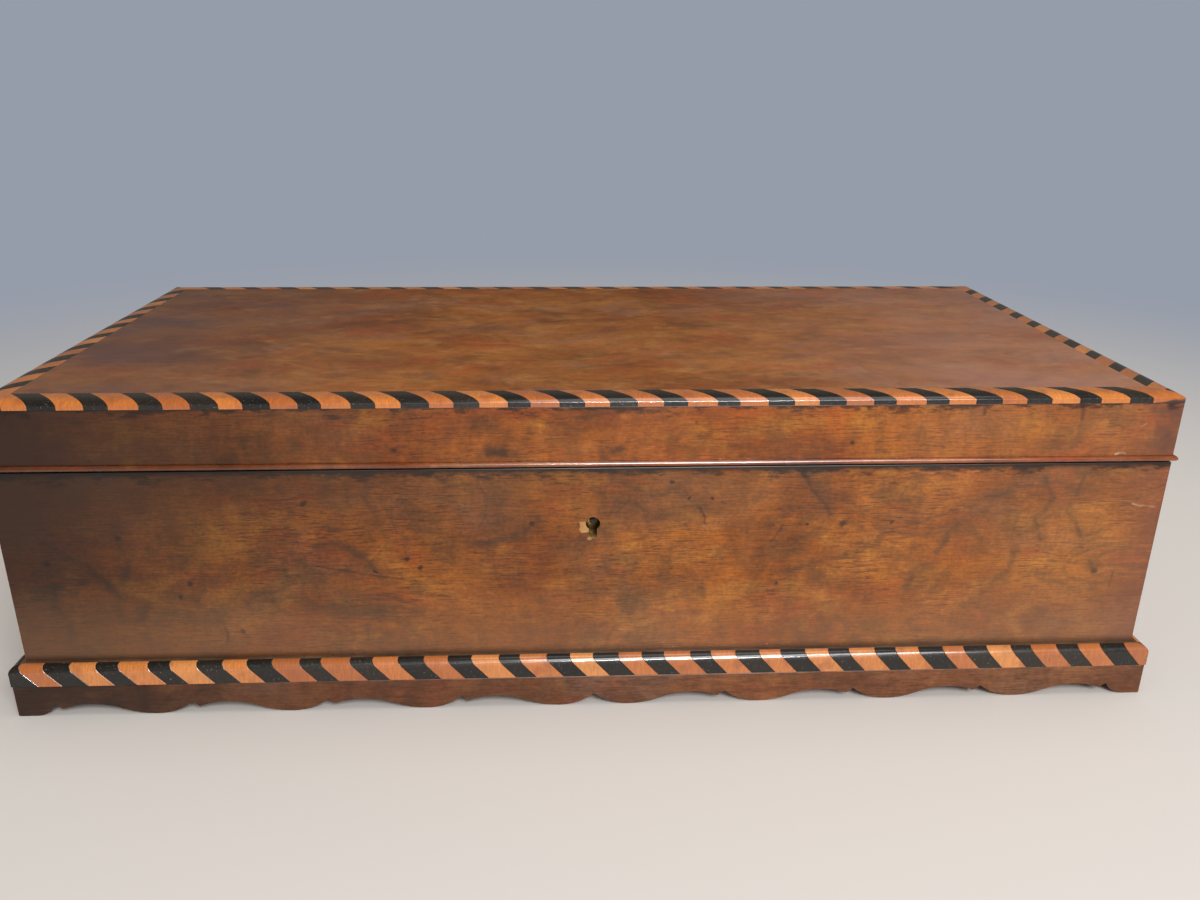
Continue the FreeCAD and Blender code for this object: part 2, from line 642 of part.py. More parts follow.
def make_case(hinge_cuts, lock):
    front = mitred_board("front", BOARD, APRON_TOP, CASE_TOP)
    front = cut_all(front, lock["mortise"] + holes_for(lock["screws"]) + veneer_chips())
    export("case_front", front.cut(keyhole(-HALF_Y - SPARE, LOCK_FRONT_Y + SPARE)))
    export("case_back", cut_all(mitred_board("back", BOARD, APRON_TOP, CASE_TOP), hinge_cuts))
    export("case_end_left", mitred_board("left", BOARD, APRON_TOP, CASE_TOP))
    opening_y = DRAWER_HALF_WIDTH + GAP
    opening = box(INSIDE_X - SPARE, HALF_X + SPARE, -opening_y, opening_y, RUNNER_TOP, DRAWER_TOP + GAP)
    export("case_end_right", mitred_board("right", BOARD, APRON_TOP, CASE_TOP).cut(opening))

    x = INSIDE_X
    y = INSIDE_Y
    export("case_bottom_board", box(-x, x, -y, y, APRON_TOP, APRON_TOP + BOTTOM_BOARD))
    well_bottom = DUST_BOARD_BOTTOM + DUST_BOARD
    export("well_dust_board", box(-x, x, -y, y, DUST_BOARD_BOTTOM, well_bottom))
    export("well_floor_lining", box(-x, x, -y, y, well_bottom, WELL_FLOOR))


def make_drawer_supports():
    """Runners under the drawer, guides beside it, and the stop behind it."""
    runner_bottom = APRON_TOP + BOTTOM_BOARD
    guide_y = DRAWER_HALF_WIDTH + GAP
    back_x = DRAWER_BACK_X - RUNNER_OVERRUN
    runners = []
    guides = []
    for sy in (-1, 1):
        near, far = sorted((sy * (guide_y - RUNNER_WIDTH), sy * INSIDE_Y))
        runners.append(box(back_x, INSIDE_X, near, far, runner_bottom, RUNNER_TOP))
        near, far = sorted((sy * guide_y, sy * INSIDE_Y))
        guides.append(box(back_x, INSIDE_X, near, far, RUNNER_TOP, RUNNER_TOP + GUIDE_HEIGHT))
    export("drawer_runners", Part.makeCompound(runners))
    export("drawer_guides", Part.makeCompound(guides))
    stop_x = DRAWER_BACK_X - GAP
    export("drawer_stop", box(stop_x - STOP_THICKNESS, stop_x, -STOP_HALF_WIDTH, STOP_HALF_WIDTH,
                              runner_bottom, RUNNER_TOP + STOP_HEIGHT))


def make_partitions():
    x = INSIDE_X
    y = INSIDE_Y
    section = PEN_SECTION_Y + PARTITION
    export("well_partition_long", box(-x, x, PEN_SECTION_Y, section, WELL_FLOOR, PARTITION_TOP))
    export("well_partition_cross",
           box(LETTER_END_X, LETTER_END_X + PARTITION, -y, PEN_SECTION_Y, WELL_FLOOR, PARTITION_TOP))
    dividers = []
    for sx in (-1, 1):
        near, far = sorted((sx * (x - INK_BAY), sx * (x - INK_BAY - PARTITION)))
        dividers.append(box(near, far, section, y, WELL_FLOOR, PARTITION_TOP))
    export("ink_bay_dividers", Part.makeCompound(dividers))


def make_pen_tray():
    """A lift-out block with a long hollow whose ends are rounded."""
    x = INSIDE_X - INK_BAY - PARTITION - GAP
    y0 = PEN_SECTION_Y + PARTITION + GAP
    y1 = INSIDE_Y - GAP
    bottom = WELL_FLOOR + GAP
    tray = box(-x, x, y0, y1, bottom, TRAY_TOP)
    hollow_x = x - TRAY_WALL - TRAY_END
    hollow_y0 = y0 + TRAY_WALL
    hollow_y1 = y1 - TRAY_WALL
    hollow_bottom = bottom + TRAY_FLOOR
    cuts = [box(-hollow_x, hollow_x, hollow_y0, hollow_y1, hollow_bottom, TRAY_TOP)]
    for end in (-hollow_x, hollow_x):
        cuts.append(cylinder(TRAY_TOP - hollow_bottom, V(end, hollow_y0, TRAY_TOP),
                             V(end, hollow_y1, TRAY_TOP)))
    export("pen_tray", cut_all(tray, cuts))


def make_ink_bottle(name, sx):
    """A square glass bottle with a round neck, and its brass screw cap."""
    x = sx * (INSIDE_X - INK_BAY / 2)
    y = (PEN_SECTION_Y + PARTITION + INSIDE_Y) / 2
    bottom = WELL_FLOOR + GAP
    shoulder = bottom + BOTTLE_BODY
    neck_top = shoulder + BOTTLE_NECK
    half = BOTTLE_SIDE / 2
    body = box(x - half, x + half, y - half, y + half, bottom, shoulder)
    upright = [edge for edge in body.Edges if abs(edge.tangentAt(edge.FirstParameter).z) > 0.9]
    body = body.makeFillet(BOTTLE_CORNER, upright)
    neck = cylinder(BOTTLE_NECK_RADIUS, V(x, y, shoulder), V(x, y, neck_top))
    room = half - BOTTLE_WALL
    inside_top = shoulder - BOTTLE_WALL
    inside = box(x - room, x + room, y - room, y + room, bottom + BOTTLE_WALL, inside_top)
    mouth = cylinder(BOTTLE_MOUTH_RADIUS, V(x, y, inside_top - SPARE), V(x, y, neck_top))
    export("ink_bottle_" + name, cut_all(body.fuse(neck), [inside, mouth]))

    cap_top = neck_top + CAP_WALL
    cap = cylinder(BOTTLE_NECK_RADIUS + CAP_WALL, V(x, y, shoulder + CAP_LIFT), V(x, y, cap_top))
    rim = [edge for edge in cap.Edges if edge.BoundBox.ZMin > neck_top]
    cap = cap.makeFillet(CAP_ROUNDING, rim)
    export("ink_cap_" + name, cap.cut(cylinder(BOTTLE_NECK_RADIUS, V(x, y, shoulder), V(x, y, neck_top))))


def knob_shape():
    """A turned knob along +X on the axis z = 0, its stem let into the drawer front."""
    back = HALF_X - DRAWER_FRONT_BOARD + GROOVE
    face = HALF_X
    tip = face + KNOB_REACH
    rim = tip - KNOB_DOME
    dome = (KNOB_HEAD ** 2 + KNOB_DOME ** 2) / (2 * KNOB_DOME)
    half_angle = math.asin(KNOB_HEAD / dome) / 2
    dome_middle = V(tip - dome + dome * math.cos(half_angle), 0, dome * math.sin(half_angle))
    section = [
        (V(back, 0, 0), V(back, 0, KNOB_STEM)),
        (V(back, 0, KNOB_STEM), V(face, 0, KNOB_STEM)),
        (V(face, 0, KNOB_STEM), V(face, 0, KNOB_FOOT)),
        (V(face, 0, KNOB_FOOT), V(face + 1.4, 0, KNOB_FOOT)),
        (V(face + 1.4, 0, KNOB_FOOT), V(face + 2.2, 0, KNOB_NECK + 0.8), V(face + 4, 0, KNOB_NECK)),
        (V(face + 4, 0, KNOB_NECK), V(face + 6, 0, KNOB_HEAD - 1.2), V(rim, 0, KNOB_HEAD)),
        (V(rim, 0, KNOB_HEAD), dome_middle, V(tip, 0, 0)),
        (V(tip, 0, 0), V(back, 0, 0)),
    ]
    return outline_face(section).revolve(V(0, 0, 0), V(1, 0, 0), 360)


def make_drawer():
    width = DRAWER_HALF_WIDTH
    front_x = HALF_X - DRAWER_FRONT_BOARD
    inner = width - DRAWER_SIDE_BOARD
    floor_top = DRAWER_FLOOR_Z + DRAWER_FLOOR
    floor = box(DRAWER_BACK_X, front_x + GROOVE, -inner - GROOVE, inner + GROOVE,
                DRAWER_FLOOR_Z, floor_top)
    export("drawer_bottom_board", floor)

    knob = knob_shape()
    knob.translate(V(0, 0, (DRAWER_BOTTOM + DRAWER_TOP) / 2))
    export("drawer_knob", knob)
    front = box(front_x, HALF_X, -width, width, DRAWER_BOTTOM, DRAWER_TOP)
    export("drawer_front", cut_all(front, [floor, knob]))

    for name, sy in (("near", -1), ("far", 1)):
        low, high = sorted((sy * inner, sy * width))
        side = box(DRAWER_BACK_X, front_x, low, high, DRAWER_BOTTOM, DRAWER_SIDE_TOP)
        export("drawer_side_" + name, side.cut(floor))
    export("drawer_back", box(DRAWER_BACK_X, DRAWER_BACK_X + DRAWER_SIDE_BOARD, -inner, inner,
                              floor_top, DRAWER_SIDE_TOP))


def main():
    os.makedirs("parts", exist_ok=True)
    hinges = make_hinges()
    lock = make_lock()
    link = make_link_plate()
    make_base()
    make_glue_blocks()
    make_case(hinges["recesses"] + holes_for(hinges["case_screws"]), lock)
    make_drawer_supports()
    make_lid(hinges["recesses"] + holes_for(hinges["lid_screws"]), link)
    make_partitions()
    make_pen_tray()
    make_ink_bottle("left", -1)
    make_ink_bottle("right", 1)
    make_drawer()
    export("hinge_leaves_case", Part.makeCompound(hinges["case_leaves"]))
    export("hinge_leaves_lid", Part.makeCompound(hinges["lid_leaves"]))
    export("hinge_pins", Part.makeCompound(hinges["pins"]))
    export_screws("hinge_screws_case", hinges["case_screws"])
    export_screws("hinge_screws_lid", hinges["lid_screws"])
    export("lock_plate", lock["plate"])
    export("lock_case", lock["case"])
    export("lock_pin", lock["pin"])
    export_screws("lock_screws", lock["screws"])
    export("lock_bolt", make_bolt())
    export("lock_link_plate", link["plate"])
    export_screws("lock_link_screws", link["screws"])


main()
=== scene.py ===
import json
import math
import random

import bmesh
import bpy
from mathutils import Matrix, Vector

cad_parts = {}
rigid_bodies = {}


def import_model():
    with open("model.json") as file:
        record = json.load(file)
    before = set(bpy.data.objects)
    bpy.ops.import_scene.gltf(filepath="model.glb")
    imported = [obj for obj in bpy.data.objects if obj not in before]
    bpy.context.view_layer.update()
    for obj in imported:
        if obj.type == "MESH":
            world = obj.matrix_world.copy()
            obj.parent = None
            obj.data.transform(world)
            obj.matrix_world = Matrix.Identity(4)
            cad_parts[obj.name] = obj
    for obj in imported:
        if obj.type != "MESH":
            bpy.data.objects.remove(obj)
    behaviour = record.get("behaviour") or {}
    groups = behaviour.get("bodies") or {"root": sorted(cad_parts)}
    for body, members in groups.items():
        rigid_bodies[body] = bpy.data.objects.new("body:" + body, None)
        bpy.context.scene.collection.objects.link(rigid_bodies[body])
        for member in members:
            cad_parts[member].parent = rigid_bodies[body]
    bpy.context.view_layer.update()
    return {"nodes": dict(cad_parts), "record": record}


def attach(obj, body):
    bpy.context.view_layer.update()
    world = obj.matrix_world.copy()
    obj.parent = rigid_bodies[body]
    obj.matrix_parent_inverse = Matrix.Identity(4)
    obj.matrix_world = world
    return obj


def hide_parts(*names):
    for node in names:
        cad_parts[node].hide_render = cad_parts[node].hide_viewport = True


# Looks of the walnut letter box: polished veneer, an edging of dark and light
# blocks, velvet linings, mahogany fittings, old brass and glass.
# Metres in the frame of the part; names ending in _MM are millimetres.

for leftover in list(bpy.data.objects):
    bpy.data.objects.remove(leftover)

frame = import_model()
record = frame["record"]

MM = 0.001
SLOT_OF = {row["node"]: row["material_slot"] for row in record["subparts"]}
BODY_OF = {node: body for body, nodes in record["behaviour"]["bodies"].items() for node in nodes}

# ---------------------------------------------------------------- sizes

CASE_LENGTH_MM = 480.0
CASE_DEPTH_MM = 225.0
CASE_SHIFT_MM = -3.3             # the case sits this far left of the frame's middle
FRONT_Y_MM = -CASE_DEPTH_MM / 2
LEFT_X_MM = CASE_SHIFT_MM - CASE_LENGTH_MM / 2
RIGHT_X_MM = CASE_SHIFT_MM + CASE_LENGTH_MM / 2
CASE_TOP_MM = 109.3
LID_BOTTOM_MM = 110.1
BASE_TOP_MM = 24.2

# Edging: a dark and a light block in turn, cut by hand and so not all alike
BLOCK_PAIR_MM = 20.7             # length of a dark and a light block together
DARK_BLOCK_MM = 10.0
JOINT_WOBBLE_MM = 0.6            # how far a joint strays from its even place
WOBBLE_STEP = 2.3                # radians of the wobble's wave from one joint to the next
DRIFT_PAIRS = 23                 # pairs in one wave of the slow drift
LEAST_CORNER_BLOCK_MM = 6.0      # a joint nearer than this to the far corner is left out
CORNER_OVERRUN_MM = 12.0         # the first block is sawn to reach this far past its corner
LID_FIRST_JOINT_MM = 0.4         # the even spacing starts this far before the corner
LID_DRIFT_MM = 1.6
LID_SLANT = 1.0                  # sideways run of a lid joint per unit of width
LID_EDGING_WIDTH_MM = 10.5
LID_EDGING_BOTTOM_MM = 135.2
LID_EDGING_UPRIGHT_MM = 1.7
LID_EDGING_CREST_MM = 6.2
LID_EDGING_TOP_MM = 139.0
LID_TOP_MM = 138.9
BASE_FIRST_JOINT_MM = 4.4
BASE_DRIFT_MM = -1.7
BASE_SLANT = 0.9                 # sideways run of a base joint per unit of height
BASE_TWIST = 0.43                # and how far it runs back per unit of width
BASE_OUTSET_MM = 5.4
BASE_EDGING_BOTTOM_MM = 14.6
BASE_SHOULDER_MM = 20.2
FILLET_WIDTH_MM = 1.8
FILLET_DROP_MM = 1.6
JOINT_ARRIS_MM = 0.13            # how far a block's edges are rubbed down
BLOCK_SINK_MM = 0.06             # blocks have shrunk unevenly by up to this much
SMALLEST_BLOCK_MM3 = 1.0
ARC_STEPS = 8

KEYHOLE_X_MM = CASE_SHIFT_MM - 0.6
KEYHOLE_Z_MM = 84.4
VENEER_MM = 0.7                  # depth of the chips beside the keyhole

SHARP_ANGLE = math.radians(20)   # surfaces that meet at less than this are one curve
ARRIS_ANGLE = math.radians(30)   # edges sharper than this are arrises, which get eased
FLAT_ANGLE = math.radians(0.3)   # faces that meet at less than this are one flat face
MERGE_MM = 0.001                 # points closer than this are one
SAW_TOLERANCE_MM = 0.0001        # points nearer than this to a saw cut lie on it
QUARTER_TURN = math.radians(-90)  # turns the grain to run from front to back

# The camera looks down on the front from a little left of the middle
CAMERA_PLACE = Vector((-0.0206, -0.4868, 0.2576))
CAMERA_YAW = -0.05154
CAMERA_PITCH = 0.35896
CAMERA_ROLL = 0.00899
CAMERA_TURN = (Matrix.Rotation(CAMERA_YAW, 4, "Z")
               @ Matrix.Rotation(math.pi / 2 - CAMERA_PITCH, 4, "X")
               @ Matrix.Rotation(CAMERA_ROLL, 4, "Z"))
CAMERA_LENS_MM = 29.918
CAMERA_SENSOR_MM = 36.0
PICTURE_PX = (1200, 900)
FOCAL_PX = CAMERA_LENS_MM / CAMERA_SENSOR_MM * PICTURE_PX[0]
BARREL = -0.01744                # the barrel bend that marks given in pixels are cleared of
STRAIGHTENING_STEPS = 5


# ---------------------------------------------------------------- material helpers

def colour(hex_code):
    """Linear RGBA of an sRGB hex value."""
    channels = [int(hex_code[i:i + 2], 16) / 255 for i in (0, 2, 4)]
    linear = [c / 12.92 if c <= 0.04045 else ((c + 0.055) / 1.055) ** 2.4 for c in channels]
    return (*linear, 1.0)


def add(tree, kind, inputs=None, output=0, stops=None, **settings):
    """Adds a node with its settings, values and links, and returns one of its outputs."""
    node = tree.nodes.new(kind)
    for name, value in settings.items():
        setattr(node, name, value)
    for key, value in (inputs or {}).items():
        if isinstance(value, bpy.types.NodeSocket):
            tree.links.new(value, node.inputs[key])
        else:
            node.inputs[key].default_value = value
    if stops:
        elements = node.color_ramp.elements
        while len(elements) < len(stops):
            elements.new(1.0)
        for element, (position, hex_code) in zip(elements, stops):
            element.position = position
            element.color = colour(hex_code)
    return node.outputs[output] if node.outputs else node


MIX = {"data_type": "RGBA", "output": 2}
TINT = {"data_type": "RGBA", "blend_type": "MULTIPLY", "output": 2}
STEP = {"interpolation_type": "SMOOTHSTEP"}      # inputs: value, from start, end, to start, end


def new_material(name):
    """An empty material and its node tree."""
    material = bpy.data.materials.new(name)
    material.use_nodes = True
    material.node_tree.nodes.clear()
    return material, material.node_tree


def surface(tree, inputs, height=None, relief_mm=0.1):
    """Ends a material with its shader; height, if given, raises the surface by relief_mm."""
    if height is not None:
        inputs["Normal"] = add(tree, "ShaderNodeBump", {
            "Height": height, "Strength": 1.0, "Distance": relief_mm * MM})
    shader = add(tree, "ShaderNodeBsdfPrincipled", inputs)
    add(tree, "ShaderNodeOutputMaterial", {"Surface": shader})


def place_in_mm(tree, turn=0.0):
    """Object coordinates in millimetres, turned about Z so that the grain runs along X."""
    place = add(tree, "ShaderNodeTexCoord", output="Object")
    return add(tree, "ShaderNodeMapping", {
        "Vector": place, "Rotation": (0, 0, turn), "Scale": (1 / MM, 1 / MM, 1 / MM)})


def streaks(tree, place, size_mm, detail=2.0, roughness=0.5, output="Fac"):
    """Cloudy streaks, 0 to 1, whose length, depth and height are given in millimetres."""
    stretched = add(tree, "ShaderNodeMapping", {
        "Vector": place, "Scale": tuple(1 / size for size in size_mm)})
    return add(tree, "ShaderNodeTexNoise", {
        "Vector": stretched, "Scale": 1.0, "Detail": detail, "Roughness": roughness}, output)


def drifted(tree, place, size_mm, reach_mm):
    """The place pushed about by up to half reach_mm in swirls of size_mm."""
    swirl = streaks(tree, place, (size_mm,) * 3, detail=2.0, output="Color")
    centred = add(tree, "ShaderNodeVectorMath", {0: swirl, 1: (0.5, 0.5, 0.5)},
                  operation="SUBTRACT")
    push = add(tree, "ShaderNodeVectorMath", {0: centred, "Scale": reach_mm}, operation="SCALE")
    return add(tree, "ShaderNodeVectorMath", {0: place, 1: push}, operation="ADD")


def from_mark(tree, place, points):
    """Distance in mm to a mark on the front: a spot (one point) or a broken line (more)."""
    flat = [Vector((x, 0, z)) for x, z in points]
    if len(flat) == 1:
        return add(tree, "ShaderNodeVectorMath", {0: place, 1: flat[0]},
                   operation="DISTANCE", output="Value")
    nearest = None
    for start, end in zip(flat, flat[1:]):
        run = end - start
        offset = add(tree, "ShaderNodeVectorMath", {0: place, 1: start}, operation="SUBTRACT")
        share = add(tree, "ShaderNodeVectorMath", {0: offset, 1: run / run.length_squared},
                    operation="DOT_PRODUCT", output="Value")
        held = add(tree, "ShaderNodeClamp", {"Value": share})
        along = add(tree, "ShaderNodeVectorMath", {0: run, "Scale": held}, operation="SCALE")
        away = add(tree, "ShaderNodeVectorMath", {0: offset, 1: along},
                   operation="DISTANCE", output="Value")
        if nearest is None:
            nearest = away
        else:
            nearest = add(tree, "ShaderNodeMath", {0: nearest, 1: away}, operation="MINIMUM")
    return nearest


# ---------------------------------------------------------------- walnut

class Walnut:
    """The colours of one cut of walnut and how strongly each part of its figure shows."""

    def __init__(self, stops, warm, gold, dull, olive, lines, mottle, ticks, ripple, rough=0.34,
                 shine=0.3, polish=0.12):
        self.stops = stops
        self.warm = warm
        self.gold = gold
        self.dull = dull
        self.olive = olive
        self.lines = lines
        self.mottle = mottle
        self.ticks = ticks
        self.ripple = ripple
        self.rough = rough
        self.shine = shine
        self.polish = polish


def walnut(name, cut, turn=0.0, marks=None):
    """Walnut veneer under old French polish, which the eye reads as four layers:

    clouds of brown and orange some 60 mm long, soft contour lines of darker figure,
    olive mottles of 12 to 20 mm, and fine grain and pores. The pores are drawn 0.5 mm
    high, coarser than real ones, so that they show."""
    material, tree = new_material(name)
    place = place_in_mm(tree, turn)
    swayed = drifted(tree, place, 70.0, 26.0)
    tone = walnut_clouds(tree, swayed, cut)
    tone = walnut_figure(tree, swayed, tone, cut)
    tone = walnut_grain(tree, place, tone, cut)
    if marks:
        tone = marks(tree, place, tone)
    wear = streaks(tree, place, (40.0, 40.0, 40.0), detail=4.0, roughness=0.65)
    surface(tree, {
        "Base Color": tone,
        "Roughness": add(tree, "ShaderNodeMapRange", {
            0: wear, 1: 0.3, 2: 0.7, 3: cut.rough - 0.05, 4: cut.rough + 0.12}, **STEP),
        "Coat Weight": cut.polish,
        "Coat Roughness": 0.15,
        "Specular IOR Level": cut.shine,
    }, height=streaks(tree, place, (12.0, 1.5, 0.6), detail=3.0), relief_mm=0.025)
    return material


def walnut_clouds(tree, place, cut):
    """The ground: broad clouds with dull areas, red flushes and golden patches in them."""
    clouds = streaks(tree, place, (60.0, 40.0, 26.0), detail=4.0, roughness=0.55)
    tone = add(tree, "ShaderNodeValToRGB", {"Fac": clouds}, stops=cut.stops)
    for size_mm, start, strength, tint in (
            ((52.0, 34.0, 30.0), 0.48, 0.55, cut.dull),
            ((40.0, 20.0, 14.0), 0.49, 0.60, cut.warm),
            ((22.0, 12.0, 12.0), 0.50, 0.55, cut.gold)):
        patch = streaks(tree, place, size_mm, detail=4.0, roughness=0.6)
        patch = add(tree, "ShaderNodeMapRange", {0: patch, 1: start, 2: 0.70, 4: strength}, **STEP)
        tone = add(tree, "ShaderNodeMix", {0: patch, 6: tone, 7: colour(tint)}, **MIX)
    return tone


def walnut_figure(tree, place, tone, cut):
    """Growth rings met at a slant: each is dark at one edge and fades away from it."""
    field = streaks(tree, place, (58.0, 40.0, 40.0), detail=2.5, roughness=0.45)
    rings = add(tree, "ShaderNodeMath", {0: field, 1: 13.0}, operation="MULTIPLY")
    ring = add(tree, "ShaderNodeMath", {0: rings}, operation="FRACT")
    fade = add(tree, "ShaderNodeMapRange", {0: ring, 1: 0.0, 2: 0.55, 3: 1.0, 4: 0.0}, **STEP)
    edge = add(tree, "ShaderNodeMapRange", {0: ring, 1: 0.84, 2: 1.0}, **STEP)
    line = add(tree, "ShaderNodeMath", {0: fade, 1: edge}, operation="MAXIMUM")
    part = streaks(tree, place, (36.0, 36.0, 34.0), detail=3.0)
    part = add(tree, "ShaderNodeMapRange", {0: part, 1: 0.42, 2: 0.62, 4: cut.lines}, **STEP)
    line = add(tree, "ShaderNodeMath", {0: line, 1: part}, operation="MULTIPLY")
    tone = add(tree, "ShaderNodeMix", {0: line, 6: tone, 7: colour(cut.olive)}, **MIX)
    mottle = streaks(tree, place, (20.0, 12.0, 16.0), detail=5.0, roughness=0.58)
    dark = add(tree, "ShaderNodeMapRange", {0: mottle, 1: 0.48, 2: 0.70, 4: cut.mottle}, **STEP)
    tone = add(tree, "ShaderNodeMix", {0: dark, 6: tone, 7: colour(cut.olive)}, **MIX)
    ripple = streaks(tree, place, (7.0, 7.0, 17.0), detail=4.0, roughness=0.6)
    shade = add(tree, "ShaderNodeMapRange", {
        0: ripple, 1: 0.32, 2: 0.68, 3: 1.0 - cut.ripple, 4: 1.0 + cut.ripple}, **STEP)
    return add(tree, "ShaderNodeMix", {0: 1.0, 6: tone, 7: shade}, **TINT)


def walnut_grain(tree, place, tone, cut):
    """Fine grain, short red-brown pores where the cut runs along the fibre, and pin knots."""
    grain = streaks(tree, drifted(tree, place, 30.0, 3.0), (15.0, 1.5, 0.7), detail=4.0,
                    roughness=0.6)
    shade = add(tree, "ShaderNodeMapRange", {
        0: grain, 1: 0.3, 2: 0.7, 3: 1.0 - 0.44 * cut.ticks, 4: 1.0 + 0.36 * cut.ticks}, **STEP)
    tone = add(tree, "ShaderNodeMix", {0: 1.0, 6: tone, 7: shade}, **TINT)
    pores = streaks(tree, place, (5.5, 1.0, 0.5), detail=1.0)
    pores = add(tree, "ShaderNodeMapRange", {
        0: pores, 1: 0.56, 2: 0.67, 4: 1.3 * cut.ticks}, **STEP)
    where = streaks(tree, place, (34.0, 34.0, 22.0), detail=2.0)
    where = add(tree, "ShaderNodeMapRange", {0: where, 1: 0.40, 2: 0.58, 3: 0.3}, **STEP)
    pored = add(tree, "ShaderNodeMath", {0: pores, 1: where}, operation="MULTIPLY", use_clamp=True)
    tone = add(tree, "ShaderNodeMix", {0: pored, 6: tone, 7: colour("52260f")}, **MIX)
    speckle = streaks(tree, place, (1.6, 1.6, 1.2), detail=3.0, roughness=0.6)
    shade = add(tree, "ShaderNodeMapRange", {
        0: speckle, 1: 0.3, 2: 0.7, 3: 1.0 - 0.32 * cut.ticks, 4: 1.0 + 0.32 * cut.ticks}, **STEP)
    tone = add(tree, "ShaderNodeMix", {0: 1.0, 6: tone, 7: shade}, **TINT)

    knots = add(tree, "ShaderNodeTexVoronoi", {
        "Vector": drifted(tree, place, 4.0, 1.8), "Scale": 1 / 21.0, "Randomness": 1.0},
        output="Distance")
    chance = streaks(tree, place, (25.0, 25.0, 25.0))
    chance = add(tree, "ShaderNodeMapRange", {0: chance, 1: 0.52, 2: 0.62}, **STEP)
    knot = add(tree, "ShaderNodeMapRange", {0: knots, 1: 0.02, 2: 0.06, 3: 0.7, 4: 0.0}, **STEP)
    knot = add(tree, "ShaderNodeMath", {0: knot, 1: chance}, operation="MULTIPLY")
    return add(tree, "ShaderNodeMix", {0: knot, 6: tone, 7: colour("2f1a10")}, **MIX)


FACE_CUT = Walnut(
    stops=[(0.26, "6e360a"), (0.38, "80420b"), (0.50, "904e10"), (0.62, "9e5a15"),
           (0.76, "a86420")],
    warm="904012", gold="ac6e25", dull="805637", olive="54381c",
    lines=0.42, mottle=0.55, ticks=0.52, ripple=0.14)
LID_CUT = Walnut(
    stops=[(0.26, "6e360a"), (0.42, "83430d"), (0.55, "965012"), (0.72, "a55d1b")],
    warm="99430f", gold="b27222", dull="88572f", olive="513414",
    lines=0.3, mottle=0.5, ticks=0.44, ripple=0.17, rough=0.3)
TOP_CUT = Walnut(
    stops=[(0.26, "6b3a1c"), (0.42, "7c4822"), (0.54, "8a5427"), (0.68, "98602e"),
           (0.80, "a36c38")],
    warm="8e4422", gold="996a3a", dull="7f5c4c", olive="4e3724",
    lines=0.22, mottle=0.42, ticks=0.2, ripple=0.08, rough=0.5, shine=0.12, polish=0.0)
MOULDING_CUT = Walnut(
    stops=[(0.26, "523019"), (0.42, "673b1f"), (0.55, "784727"), (0.70, "885430")],
    warm="783a1e", gold="8e5d32", dull="6f5244", olive="3c291a",
    lines=0.3, mottle=0.5, ticks=0.45, ripple=0.12, rough=0.38)
# Darker than the moulding: grime, and painted shade of the nook between the case and the base
# edging
FILLET_CUT = Walnut(
    stops=[(0.26, "3c2b1e"), (0.42, "4e3a29"), (0.55, "604833"), (0.70, "70563f")],
    warm="4c3022", gold="5c4a34", dull="4f443c", olive="2a2018",
    lines=0.1, mottle=0.4, ticks=0.3, ripple=0.15, rough=0.42)
BEAD_CUT = Walnut(
    stops=[(0.26, "6c3318"), (0.42, "7f3f1c"), (0.55, "8f4a22"), (0.70, "9c5729")],
    warm="8c3a18", gold="a3642e", dull="7c4c34", olive="472a18",
    lines=0.1, mottle=0.4, ticks=0.3, ripple=0.1, rough=0.2, shine=0.5, polish=0.5)


def front_point(across_px, down_px):
    """The point on the front, in mm across and up, under a pixel of the camera's picture."""
    middle_px = Vector(PICTURE_PX) / 2
    bent = Vector((across_px - middle_px.x, middle_px.y - down_px)) / FOCAL_PX
    straight = bent
    for _ in range(STRAIGHTENING_STEPS):
        straight = bent / (1 + BARREL * straight.length_squared)
    ray = CAMERA_TURN @ Vector((straight.x, straight.y, -1.0))
    point = CAMERA_PLACE + ray * ((FRONT_Y_MM * MM - CAMERA_PLACE.y) / ray.y)
    return round(point.x / MM, 1), round(point.z / MM, 1)


def on_front(marks_px):
    """Marks given in pixels, as marks in mm on the front."""
    return [[front_point(*pixel) for pixel in mark] for mark in marks_px]


# Marks on the front: in pixels across and down the camera's picture where a name ends in
# _PX, and in mm across and up the face where it ends in _MM
DARK_VEINS_PX = [
    [(1085.9, 466), (1078.7, 485.5), (1064.9, 509), (1074.7, 523), (1084.6, 558.6),
     (1091.5, 569.5)],
    [(1030.5, 472), (1042.5, 477), (1052, 499), (1034, 519), (1038, 535), (1043.5, 543)],
    [(803, 472), (812.5, 488.4), (830.4, 513.6)],
    [(987, 497), (1006.5, 493)],
]
SOFT_VEINS_PX = [
    [(50, 545), (80, 560), (105, 580), (125, 597)],
    [(90, 580), (60, 585), (55, 605), (75, 620), (72, 640)],
    [(110, 590), (125, 620), (145, 620), (150, 600)],
    [(118, 535), (130, 560), (125, 585)],
    [(990.7, 586), (1004.6, 570.5), (1012, 553)],
]
SOFT_VEINS_MM = [
    [(-124.0, 70.0), (-119.0, 75.5), (-109.0, 77.0), (-99.0, 71.5), (-92.0, 64.5)],
    [(-100.0, 45.0), (-88.0, 46.5), (-76.0, 44.0)],
    [(-26.0, 87.0), (-38.0, 78.0), (-54.0, 76.0)],
    [(118.0, 76.0), (108.0, 70.0), (92.0, 66.0), (80.0, 62.0)],
    [(150.0, 82.0), (144.0, 72.0), (136.0, 62.0), (131.0, 52.0)],
]
CRACKS_PX = [
    [(308, 564), (392.6, 577.8), (447, 583)],
    [(418, 595.7), (455.7, 596.8)],
    [(718, 522), (705, 523), (701, 507)],
    [(784, 524), (774.7, 534.7), (771.5, 541)],
    [(1110, 571.5), (1107, 585.3)],
    [(1135, 486.9), (1160, 486.5)],
]
DRIPS_PX = [
    [(1081, 402), (1081, 412), (1081.5, 420)],
    [(984, 402), (984, 414)],
    [(228, 628), (228, 645)],
]
